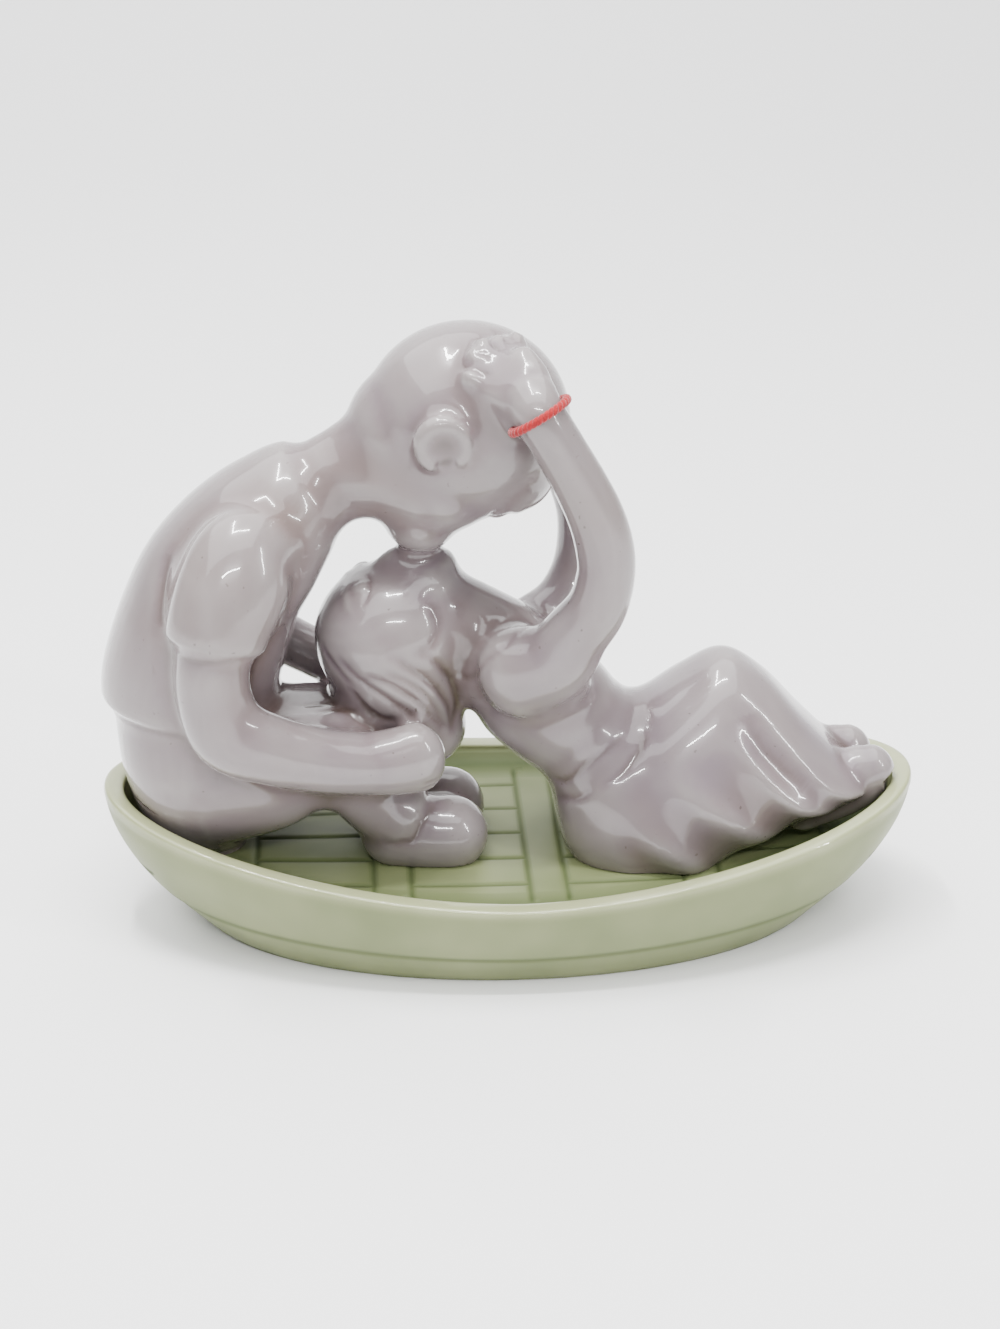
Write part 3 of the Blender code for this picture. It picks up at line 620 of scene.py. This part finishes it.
limb(clay, [
    (8, 16.5, 46.5, 11, 9.5), (14.6, 19.5, 52.6, 9, 9), (18.2, 22, 60.4, 7.6, 7.8),
    (19.4, 23.8, 69, 6.9, 7), (18.6, 25, 78, 6.5, 6.6), (15, 26, 87, 6.1, 6.2),
    (9.4, 26, 95, 5.8, 5.6), (3, 24.6, 102, 6.6, 4.2), (-3.2, 22.8, 108, 6.4, 3.2),
])

# A fillet under her near upper arm, and the back of her near hand
limb(clay, [(2.5, -13, 46.4, 8, 7.5), (6.5, -13.8, 47, 8.2, 7.5), (10, -14.6, 49.5, 8, 7.5)])
limb(clay, [(2.6, -23.6, 120.4, 5.8, 4.8), (0.3, -19.9, 123.5, 7, 4), (-2.1, -16.5, 125.5, 7.4, 3.4)])

# Her feet, under the hem; the far one is drawn in
for drawn_in, side in ((0, 1), (3.6, -1)):
    limb(details, [
        (72 - drawn_in, side * -6.4, 9, 6.5, 6), (80.5 - drawn_in, side * -6.2, 13.8, 8.2, 6.3),
        (86.6 - drawn_in, side * -6, 17.2, 7.9, 6.2), (89.4 - drawn_in, side * -5.9, 18.4, 6.6, 5.4),
    ])

# Her hands on his skull: for each finger the wrist, the knuckle and the tip
NEAR_WRIST = (3.4, -25, 119)
FAR_WRIST = (1, 24, 103.5)
HANDS = (
    (NEAR_WRIST, (-6.5, -19.5, 122.4), (-10.8, -17, 124)),
    (NEAR_WRIST, (-6.1, -16.4, 125.5), (-9.6, -13.4, 127.8)),
    (NEAR_WRIST, (-4.8, -14.1, 126.8), (-7.6, -10.9, 129.1)),
    (NEAR_WRIST, (-2.2, -12.3, 127.4), (-4, -9.1, 129.4)),
    (NEAR_WRIST, (0.7, -11, 127.1), (-0.2, -6.9, 129.6)),
    (FAR_WRIST, (-5, 22.2, 106.2), (-9.6, 21, 109)),
    (FAR_WRIST, (-5, 21.6, 109), (-9.8, 20, 113)),
    (FAR_WRIST, (-4.2, 20.6, 112), (-8.6, 18.4, 116.4)),
    (FAR_WRIST, (-2, 20.2, 114), (-5, 17.6, 118.6)),
)
PALM_RADIUS = 5.2
KNUCKLE_RADIUS = 3.1
FINGER_RADIUS = 2.4
KNUCKLE_LIFT = 1.0
FINGER_LIFT = 1.0


def on_skull(point, lift):
    """The place at a height over his skull in the direction of a point."""
    out = Vector(point) - MAN_SKULL_CENTRE
    size = Vector(c / r for c, r in zip(out, MAN_SKULL_RADII)).length
    return MAN_SKULL_CENTRE + out / size + out.normalized() * lift


for wrist, knuckle, tip in HANDS:
    bent = on_skull(knuckle, KNUCKLE_LIFT)
    end = on_skull(tip, FINGER_LIFT)
    limb(clay, [(*wrist, PALM_RADIUS, PALM_RADIUS), (*bent, KNUCKLE_RADIUS, KNUCKLE_RADIUS)], sides=24)
    limb(details, [(*bent, FINGER_RADIUS, FINGER_RADIUS), (*end, FINGER_RADIUS, FINGER_RADIUS)], sides=20)

# Her skirt: tight over the raised knees, with folds that run down and forwards to the hem.
# Upright sections across the boat as (x, bottom, top, half width at the bottom, at the top)
SKIRT = [
    (10.5, 9, 21, 11, 10), (13.5, -1, 30, 19, 15), (20, -7, 35, 24.5, 18), (30, -8, 35, 28.5, 19),
    (42, -7, 43.4, 30.5, 18), (52, -3, 48.6, 28.5, 15), (62, 2.5, 43, 25.6, 14.5),
    (72, 8, 32.3, 22.8, 14.5), (81, 11.8, 23, 19, 13), (86.5, 14, 17.6, 14.5, 11),
]
SKIRT_SQUARENESS = 2.6
FOLD_DEPTH = 1.8
FOLD_PITCH = 16.5
FOLD_START = 57.0
FOLD_SLOPE = 42.0
FOLD_FIRST_X = 24.0
FOLD_GROWTH = 20.0
FOLD_LAST_X = 90.0
FOLD_ENDING = 12.0
FOLD_TOP = 0.75
FOLD_LOOSENING = 0.45


def skirt_point(section, angle):
    """A point of the skirt's outline in one upright section, folds included."""
    x, bottom, top, wide_bottom, wide_top = section
    side = rounded(math.cos(angle), SKIRT_SQUARENESS)
    share = (rounded(math.sin(angle), SKIRT_SQUARENESS) + 1) / 2
    growth = max(0.0, min(1.0, (x - FOLD_FIRST_X) / FOLD_GROWTH))
    growth *= max(0.0, min(1.0, (FOLD_LAST_X - x) / FOLD_ENDING))
    wave = -math.cos(2 * math.pi * (x + FOLD_SLOPE * share - FOLD_START) / FOLD_PITCH)
    loose = max(0.0, min(1.0, (FOLD_TOP - share) / FOLD_LOOSENING))
    wide = wide_bottom + (wide_top - wide_bottom) * share + FOLD_DEPTH * wave * growth * loose
    return x, side * wide, bottom + (top - bottom) * share


skirt_columns = list(zip(*SKIRT))
skirt_times = [k / STEPS_PER_STATION for k in range((len(SKIRT) - 1) * STEPS_PER_STATION + 1)]
skirt_sections = [[curve_value(column, t) for column in skirt_columns] for t in skirt_times]
skirt = bmesh.new()
skirt_rings = [lambda angle, s=section: skirt_point(s, angle) for section in skirt_sections]
loft(skirt, 4 * LIMB_SIDES, skirt_rings)
add_mass(clay, skirt)

# The photograph's view: how far round and up the camera stands, its distance, and its frame
PHOTO_WIDTH = 1000
PHOTO_HEIGHT = 1329
FOCAL_PIXELS = 2476.0
CAMERA_AZIMUTH = -4.0
CAMERA_ELEVATION = 24.0
CAMERA_ROLL = 0.5
CAMERA_DISTANCE = 0.6
CAMERA_AIM = Vector((0, 0, 0.07))
AIM_PIXEL = (512.0, 650.0)

azimuth = math.radians(CAMERA_AZIMUTH)
elevation = math.radians(CAMERA_ELEVATION)
towards_camera = Vector((
    math.sin(azimuth) * math.cos(elevation),
    -math.cos(azimuth) * math.cos(elevation),
    math.sin(elevation),
))
camera_place = CAMERA_AIM + towards_camera * CAMERA_DISTANCE
camera_roll = Matrix.Rotation(math.radians(CAMERA_ROLL), 3, "Z").to_quaternion()
camera_turn = (-towards_camera).to_track_quat("-Z", "Y") @ camera_roll

# Creases drawn with a modelling tool: (path, radius of the tool, depth; raised where negative).
# The photograph shows these, so their paths are points of its frame, in pixels
HAIR_LOCKS = [
    ([(351, 690), (365, 707), (385, 720), (401, 725)], 1.1, 0.7),
    ([(341, 662), (361, 681), (387, 699), (413, 714), (431, 728)], 1.1, 0.7),
    ([(369, 677), (395, 688), (421, 705), (441, 729)], 1.1, 0.7),
    ([(387, 675), (413, 686), (432, 703), (445, 727)], 1.0, 0.6),
    ([(393, 658), (413, 671), (437, 688), (450, 710), (452, 731)], 1.1, 0.6),
    ([(421, 653), (439, 664), (452, 681), (457, 707), (454, 731)], 1.1, 0.6),
    ([(323, 649), (333, 664), (350, 684)], 1.0, 0.5),
    ([(418, 652), (430, 648), (437, 634), (436, 614), (428, 603)], 1.6, 0.6),
]
NECK_TO_ARMPIT = [
    ([(462, 673), (470, 678), (484, 664), (506, 645), (519, 632), (530, 627)], 1.0, 0.3),
]
TROUSER_HEM = [
    ([(386, 843), (400, 843), (413, 840), (421, 826), (433, 806)], 0.9, 0.4),
]
SASH_FOLDS = [
    ([(552, 777), (565, 780), (579, 772), (590, 762), (607, 750), (620, 737)], 1.3, 0.4),
    ([(560, 797), (577, 799), (590, 792)], 1.2, 0.4),
    ([(602, 787), (622, 773), (637, 755), (644, 735)], 1.3, 0.4),
]
HOLLOWS_BEHIND_SLEEVE_AND_DOWN_SKIRT = [
    ([(170, 554), (164, 573), (161, 602), (161, 627)], 2.4, 0.7),
    ([(744, 714), (758, 742), (781, 768), (808, 787)], 3.6, 1.0),
]
EAR_BOWL = [
    ([(433, 467), (445, 463), (453, 461)], 1.1, 0.5),
]
SEEN_CREASES = [
    *HAIR_LOCKS, *NECK_TO_ARMPIT, *TROUSER_HEM, *SASH_FOLDS,
    *HOLLOWS_BEHIND_SLEEVE_AND_DOWN_SKIRT, *EAR_BOWL,
]

# Only on the near side: the fist's fingers, her fingertips and the wrinkles over his thigh
SEEN_NEAR_CREASES = [
    ([(425, 784), (432, 782), (439, 779)], 0.8, 0.5),
    ([(423, 789), (430, 787), (437, 783)], 0.8, 0.4),
    ([(463, 368), (480, 372), (488, 375)], 0.8, 0.4),
    ([(470, 353), (482, 353), (491, 356)], 0.8, 0.4),
    ([(479, 339), (494, 345), (500, 350)], 0.8, 0.4),
    ([(495, 331), (505, 339), (510, 343)], 0.8, 0.4),
    ([(315, 712), (335, 710), (356, 712)], 0.9, 0.35),
    ([(304, 706), (320, 704), (336, 705)], 0.9, 0.3),
]

# The shirt's hem and the sleeve's cuff, in millimetres as the masses are
CREASES = [
    ([(-98.2, -5, 39.9), (-93.5, -15, 39.7), (-86, -20.3, 39.5), (-79, -21.7, 39.4)], 1.0, 0.4),
    ([(-79.5, -29.5, 63.6), (-74, -34.6, 63.4), (-68, -35.4, 63.4), (-61.5, -31.5, 63.8)], 0.9, 0.3),
]
# The faces: closed lids as a soft bulge over a lash line, and a brow
for lid, lash, brow in (
    (
        [(-4.6, -5.2, 89.6), (-4.6, -8.6, 90.6)],
        [(-6.2, -3.8, 90.3), (-7.4, -6.8, 91), (-6, -10.4, 93)],
        [(-0.5, -3, 87.3), (0.4, -7.5, 88.3), (-0.5, -12.5, 92)],
    ),
    (
        [(-35.8, -5, 69), (-35.8, -8, 68)],
        [(-34.2, -3.6, 69.6), (-33.2, -6.4, 69), (-34.6, -9.8, 66.5)],
        [(-38.8, -3, 68.6), (-39.8, -7, 67.6), (-38.4, -11, 65)],
    ),
):
    CREASES += [(lid, 2.3, -0.8), (lash, 0.6, 0.45), (brow, 1.3, -0.4)]
STROKE_STEPS = 10
PATH_SOFTENING = 8


def fused(masses, name):
    """Joins overlapping masses into one skin."""
    mesh = bpy.data.meshes.new(name)
    masses.to_mesh(mesh)
    masses.free()
    lump = bpy.data.objects.new(name, mesh)
    bpy.context.scene.collection.objects.link(lump)
    join = lump.modifiers.new("join", "REMESH")
    join.mode = "VOXEL"
    join.voxel_size = CLAY_VOXEL
    soften = lump.modifiers.new("soften", "SMOOTH")
    soften.factor = 0.5
    soften.iterations = CLAY_SOFTENING
    skin = bpy.data.meshes.new_from_object(lump.evaluated_get(bpy.context.evaluated_depsgraph_get()))
    bpy.data.objects.remove(lump)
    return skin


def vertex_values(mesh, name):
    values = np.empty(len(mesh.vertices) * 3)
    mesh.vertices.foreach_get(name, values)
    return values.reshape(-1, 3)


def neighbour_mean(mesh):
    """A function that gives each vertex the mean of its neighbours' places."""
    ends = np.empty(len(mesh.edges) * 2, dtype=np.int64)
    mesh.edges.foreach_get("vertices", ends)
    first, second = ends.reshape(-1, 2).T
    start, end = np.concatenate((first, second)), np.concatenate((second, first))
    total = len(mesh.vertices)
    count = np.maximum(1, np.bincount(start, minlength=total))

    def mean(points):
        axes = [np.bincount(start, weights=points[end, k], minlength=total) for k in range(3)]
        return np.stack(axes, axis=1) / count[:, None]

    return mean


def fill_creases(mesh, rounds):
    """Raises only what lies hollow, as slip and glaze fill the joins between masses."""
    mean = neighbour_mean(mesh)
    for _ in range(rounds // NORMAL_ROUNDS):
        points = vertex_values(mesh, "co")
        normals = vertex_values(mesh, "normal")
        for _ in range(NORMAL_ROUNDS):
            step = mean(points) - points
            hollow = np.einsum("ij,ij->i", step, normals) > 0
            points[hollow] += step[hollow]
        mesh.vertices.foreach_set("co", points.ravel())
        mesh.update()


def seen_on(mesh, creases):
    """The creases with their paths laid on the skin where the photograph's sight lines meet it."""
    skin = bmesh.new()
    skin.from_mesh(mesh)
    tree = BVHTree.FromBMesh(skin)
    skin.free()
    laid = []
    for path, radius, depth in creases:
        places = []
        for x, y in path:
            sight = camera_turn @ Vector((x - AIM_PIXEL[0], AIM_PIXEL[1] - y, -FOCAL_PIXELS))
            places.append(tree.ray_cast(camera_place / MM, sight)[0] - Vector((0, 0, FLOOR_HEIGHT)))
        laid.append((places, radius, depth))
    return laid


def press(mesh, creases):
    """Draws a round tool along each path on the skin, fading at both ends."""
    points = vertex_values(mesh, "co")
    normals = vertex_values(mesh, "normal")
    tree = KDTree(len(points))
    for index, point in enumerate(points):
        tree.insert(point, index)
    tree.balance()
    for path, radius, depth in creases:
        steps = (len(path) - 1) * STROKE_STEPS
        columns = list(zip(*path))
        line = [[curve_value(column, k / STROKE_STEPS) for column in columns] for k in range(steps + 1)]
        line = np.array([tree.find((x, y, z + FLOOR_HEIGHT))[0] for x, y, z in line])
        for _ in range(PATH_SOFTENING):
            line[1:-1] = (line[:-2] + 2 * line[1:-1] + line[2:]) / 4
        reach = 3 * radius
        near = np.all((points > line.min(0) - reach) & (points < line.max(0) + reach), axis=1)
        gaps = np.linalg.norm(points[near][:, None] - line[None], axis=2)
        fade = np.sin(np.pi * (gaps.argmin(1) + 1) / (steps + 2)) ** 0.5
        amount = depth * fade * np.exp(-((gaps.min(1) / radius) ** 2))
        points[near] -= normals[near] * amount[:, None]
    mesh.vertices.foreach_set("co", points.ravel())
    mesh.update()


def room_rings():
    """The space that the couple may fill: the dish's inside less its clearances, and all above."""
    wall = 2 * RIM_WIDTH + 2 * WALL_CLEARANCE
    floor = wall + 2 * FLOOR_INSET
    over = 2 * DISH_LENGTH
    return [
        oval(DISH_LENGTH - floor, DISH_BEAM - floor, level(FLOOR_HEIGHT + SEAT_GAP)),
        oval(DISH_LENGTH - wall, DISH_BEAM - wall, above_floor(0.55)),
        oval(DISH_LENGTH - wall, DISH_BEAM - wall, above_floor(1.1)),
        oval(DISH_LENGTH, DISH_BEAM, above_floor(1.4)),
        oval(over, over, level(FLOOR_HEIGHT + DISH_LENGTH)),
    ]


def trimmed(skin):
    """Thins the skin's mesh and cuts it to the room that the dish leaves."""
    body = bpy.data.objects.new("trimmed_skin", skin)
    bpy.context.scene.collection.objects.link(body)
    thin = body.modifiers.new("thin", "DECIMATE")
    thin.ratio = min(1.0, COUPLE_TRIANGLES / (2 * len(skin.polygons)))
    room_bm = bmesh.new()
    loft(room_bm, DISH_SIDES // 2, room_rings())
    bmesh.ops.recalc_face_normals(room_bm, faces=room_bm.faces)
    room_mesh = bpy.data.meshes.new("room")
    room_bm.to_mesh(room_mesh)
    room_bm.free()
    room = bpy.data.objects.new("room", room_mesh)
    bpy.context.scene.collection.objects.link(room)
    trim = body.modifiers.new("trim", "BOOLEAN")
    trim.operation = "INTERSECT"
    trim.object = room
    cut = bpy.data.meshes.new_from_object(body.evaluated_get(bpy.context.evaluated_depsgraph_get()))
    bpy.data.objects.remove(body)
    bpy.data.objects.remove(room)
    return cut


def hollows(mesh, rounds, full):
    """How deep each vertex lies in a hollow, as a share of the depth full; negative on a ridge."""
    points = vertex_values(mesh, "co")
    mean = neighbour_mean(mesh)
    smooth = points
    for _ in range(rounds):
        smooth = mean(smooth)
    out = np.einsum("ij,ij->i", smooth - points, vertex_values(mesh, "normal"))
    return out / full


FINE_ROUNDS = 12
FINE_DEPTH = 0.35
BROAD_ROUNDS = 90
BROAD_DEPTH = 2.2
SHARP_FROM = 60

bodies = fused(clay, "bodies")
fill_creases(bodies, CREASE_ROUNDS)
details.from_mesh(bodies)
couple_skin = fused(details, "couple_skin")
fill_creases(couple_skin, DETAIL_ROUNDS)
couple_skin.transform(Matrix.Translation((0, 0, FLOOR_HEIGHT)))
near_and_far = seen_on(couple_skin, SEEN_CREASES) + CREASES
far_creases = [(across(path), radius, depth) for path, radius, depth in near_and_far]
near_creases = seen_on(couple_skin, SEEN_NEAR_CREASES)
press(couple_skin, near_and_far + far_creases + near_creases)
couple_mesh = trimmed(couple_skin)
couple_mesh.name = "glazed_couple"
couple_mesh.transform(Matrix.Scale(MM, 4))
fine = hollows(couple_mesh, FINE_ROUNDS, FINE_DEPTH * MM)
broad = hollows(couple_mesh, BROAD_ROUNDS, BROAD_DEPTH * MM)
store(couple_mesh, "crease", np.clip(fine, 0, 1))
store(couple_mesh, "valley", np.clip(broad, 0, 1))
store(couple_mesh, "edge", np.clip(-fine, 0, 1))
couple_mesh.set_sharp_from_angle(angle=math.radians(SHARP_FROM))

pale = Finish("pale_glaze", Roughness=0.22, Specular_IOR_Level=0.3, Coat_Weight=0.75, Coat_Roughness=0.02)
cloud = pale.noise(28.0, 3.0)
body_tint = pale.mixed(((cloud - 0.35) * 2.2).held(), GLAZE_LIT, GLAZE_ROSE)
worn = pale.mixed((pale.kept("edge") * 0.8).held(), body_tint, GLAZE_BARE)
# Darker in the creases and the broad valleys: partly glaze pooled there, partly painted shade.
pooled_and_shaded = pale.mixed((pale.kept("valley") * 0.55 + pale.kept("crease") * 0.7).held(), worn, GLAZE_POOLED_AND_SHADE)
specks = ((pale.noise(900.0, 0.0) - 0.80) * 14.0).held() * ((pale.noise(60.0) - 0.45) * 6.0).held()
pale.feed("Base Color", pale.mixed(specks * 0.6, pooled_and_shaded, IRON_SPECK))
pale.bumped(pale.noise(90.0, 1.0), 0.0005, 0.3)
new_piece("glazed_couple", couple_mesh, pale, "couple")


# The wrist cord
# Red cotton thread of two plies twisted together, tied closely round her near wrist just below
# the hand.

CORD_DIAMETER = 2.1
CORD_GAP = 0.1
CORD_AXIS = (-0.52, 0.2, 0.83)
CORD_TWISTS = 17
PLY_SHARE = 0.72
PLY_STEPS = 208
PLY_SIDES = 10
THREAD_RED = (0.42, 0.008, 0.012, 1.0)
THREAD_SHADE = (0.20, 0.003, 0.005, 1.0)

cord_seat = NEAR_ARM[-2]
cord_radius = max(cord_seat[3:]) + CORD_GAP + CORD_DIAMETER / 2
ply_radius = PLY_SHARE * CORD_DIAMETER / 2
cord_bm = bmesh.new()


def ply_place(turn, phase):
    """The middle of one ply at a share of the way round the wrist."""
    round_wrist = Matrix.Rotation(2 * math.pi * turn, 4, "Z")
    twist = 2 * math.pi * CORD_TWISTS * turn + phase
    off = CORD_DIAMETER / 2 - ply_radius
    return round_wrist @ Vector((cord_radius + off * math.cos(twist), 0, off * math.sin(twist)))


for phase in (0, math.pi):
    places = [ply_place(k / PLY_STEPS, phase) for k in range(PLY_STEPS)]
    frames = []
    for k, middle in enumerate(places):
        along = (places[(k + 1) % PLY_STEPS] - places[k - 1]).normalized()
        frames.append(Matrix.Translation(middle) @ along.to_track_quat("Z", "X").to_matrix().to_4x4())
    loops = []
    for section in frames:
        ring = bmesh.ops.create_circle(
            cord_bm, segments=PLY_SIDES, radius=ply_radius, matrix=section,
        )["verts"]
        loops.append({edge for vert in ring for edge in vert.link_edges})
    for k, loop in enumerate(loops):
        bmesh.ops.bridge_loops(cord_bm, edges=[*loops[k - 1], *loop])
bmesh.ops.recalc_face_normals(cord_bm, faces=cord_bm.faces)
seat = Matrix.Translation(Vector(cord_seat[:3]) + Vector((0, 0, FLOOR_HEIGHT)))
tilt = Vector(CORD_AXIS).to_track_quat("Z", "Y").to_matrix().to_4x4()
bmesh.ops.transform(cord_bm, matrix=Matrix.Scale(MM, 4) @ seat @ tilt, verts=cord_bm.verts)
cord_mesh = bpy.data.meshes.new("red_wrist_cord")
cord_bm.to_mesh(cord_mesh)
cord_bm.free()

thread = Finish("red_thread", Roughness=0.85, Specular_IOR_Level=0.25, Sheen_Weight=0.3)
fuzz = thread.noise(2600.0, 3.0)
thread.feed("Base Color", thread.mixed(((fuzz - 0.3) * 1.8).held(), THREAD_SHADE, THREAD_RED))
thread.bumped(fuzz, 0.0002, 0.6)
new_piece("red_wrist_cord", cord_mesh, thread, "wrist_cord")


# The studio
# A pale sweep of paper that curves up behind, soft light from above and all round, and narrow
# strip lights whose reflections draw the thin bright lines on the glaze.

FLOOR_PALE = (0.86, 0.86, 0.86, 1.0)
SWEEP_HALF_WIDTH = 3.0
SWEEP_FRONT = -3.5
SWEEP_BACK = 1.4
SWEEP_RADIUS = 0.6
SWEEP_HEIGHT = 1.8
TENT_WHITE = (0.96, 0.97, 1.0, 1.0)
TENT_STRENGTH = 0.42
SENSOR_WIDTH = 36.0
NEAREST_SEEN = 0.01

sweep_bm = bmesh.new()
profile = [(SWEEP_FRONT, 0.0), (SWEEP_BACK - SWEEP_RADIUS, 0.0)]
for turn in range(6, 91, 6):
    a = math.radians(turn)
    profile.append((SWEEP_BACK - SWEEP_RADIUS * (1 - math.sin(a)), SWEEP_RADIUS * (1 - math.cos(a))))
profile.append((SWEEP_BACK, SWEEP_HEIGHT))
line = [sweep_bm.verts.new((-SWEEP_HALF_WIDTH, y, z)) for y, z in profile]
edges = [sweep_bm.edges.new(pair) for pair in zip(line, line[1:])]
grown = bmesh.ops.extrude_edge_only(sweep_bm, edges=edges)["geom"]
far_side = [part for part in grown if isinstance(part, bmesh.types.BMVert)]
bmesh.ops.translate(sweep_bm, verts=far_side, vec=(2 * SWEEP_HALF_WIDTH, 0, 0))
bmesh.ops.recalc_face_normals(sweep_bm, faces=sweep_bm.faces)
sweep_mesh = bpy.data.meshes.new("studio_floor")
sweep_bm.to_mesh(sweep_mesh)
sweep_bm.free()
sweep_mesh.shade_smooth()
sweep_mesh.materials.append(Finish("studio_paper", Base_Color=FLOOR_PALE, Roughness=0.9).material)
sweep = bpy.data.objects.new("studio_floor", sweep_mesh)
bpy.context.scene.collection.objects.link(sweep)

world = bpy.data.worlds.new("light_tent")
world.use_nodes = True
world.node_tree.nodes["Background"].inputs["Color"].default_value = TENT_WHITE
world.node_tree.nodes["Background"].inputs["Strength"].default_value = TENT_STRENGTH
bpy.context.scene.world = world


def strip_light(name, place, aim, size, power):
    """An area light at a place in metres, turned towards a point."""
    lamp = bpy.data.lights.new(name, "AREA")
    lamp.shape = "RECTANGLE"
    lamp.size, lamp.size_y = size
    lamp.energy = power
    made = bpy.data.objects.new(name, lamp)
    made.location = place
    made.rotation_euler = (Vector(aim) - Vector(place)).to_track_quat("-Z", "Y").to_euler()
    bpy.context.scene.collection.objects.link(made)


strip_light("soft_top", (-0.2, 0.1, 1.5), (0, 0.1, 0), (2.4, 2.4), 76.0)
strip_light("line_over_front", (-0.02, -0.17, 0.95), (-0.02, -0.05, 0.06), (0.42, 0.024), 7.0)
strip_light("line_over_left", (-0.23, 0.04, 0.95), (0, 0.04, 0.06), (0.42, 0.024), 7.0)
strip_light("line_front", (-0.05, -0.75, 0.62), (0, 0, 0.06), (0.4, 0.016), 4.0)
strip_light("line_right", (0.62, -0.42, 0.45), (0, 0, 0.06), (0.016, 0.4), 3.0)

camera = bpy.data.objects.new("photo_camera", bpy.data.cameras.new("photo_camera"))
bpy.context.scene.collection.objects.link(camera)
camera.location = camera_place
camera.rotation_mode = "QUATERNION"
camera.rotation_quaternion = camera_turn
camera.data.sensor_width = SENSOR_WIDTH
camera.data.lens = FOCAL_PIXELS / PHOTO_HEIGHT * SENSOR_WIDTH
camera.data.shift_x = (PHOTO_WIDTH / 2 - AIM_PIXEL[0]) / PHOTO_HEIGHT
camera.data.shift_y = (AIM_PIXEL[1] - PHOTO_HEIGHT / 2) / PHOTO_HEIGHT
camera.data.clip_start = NEAREST_SEEN
bpy.context.scene.camera = camera

bpy.context.view_layer.update()
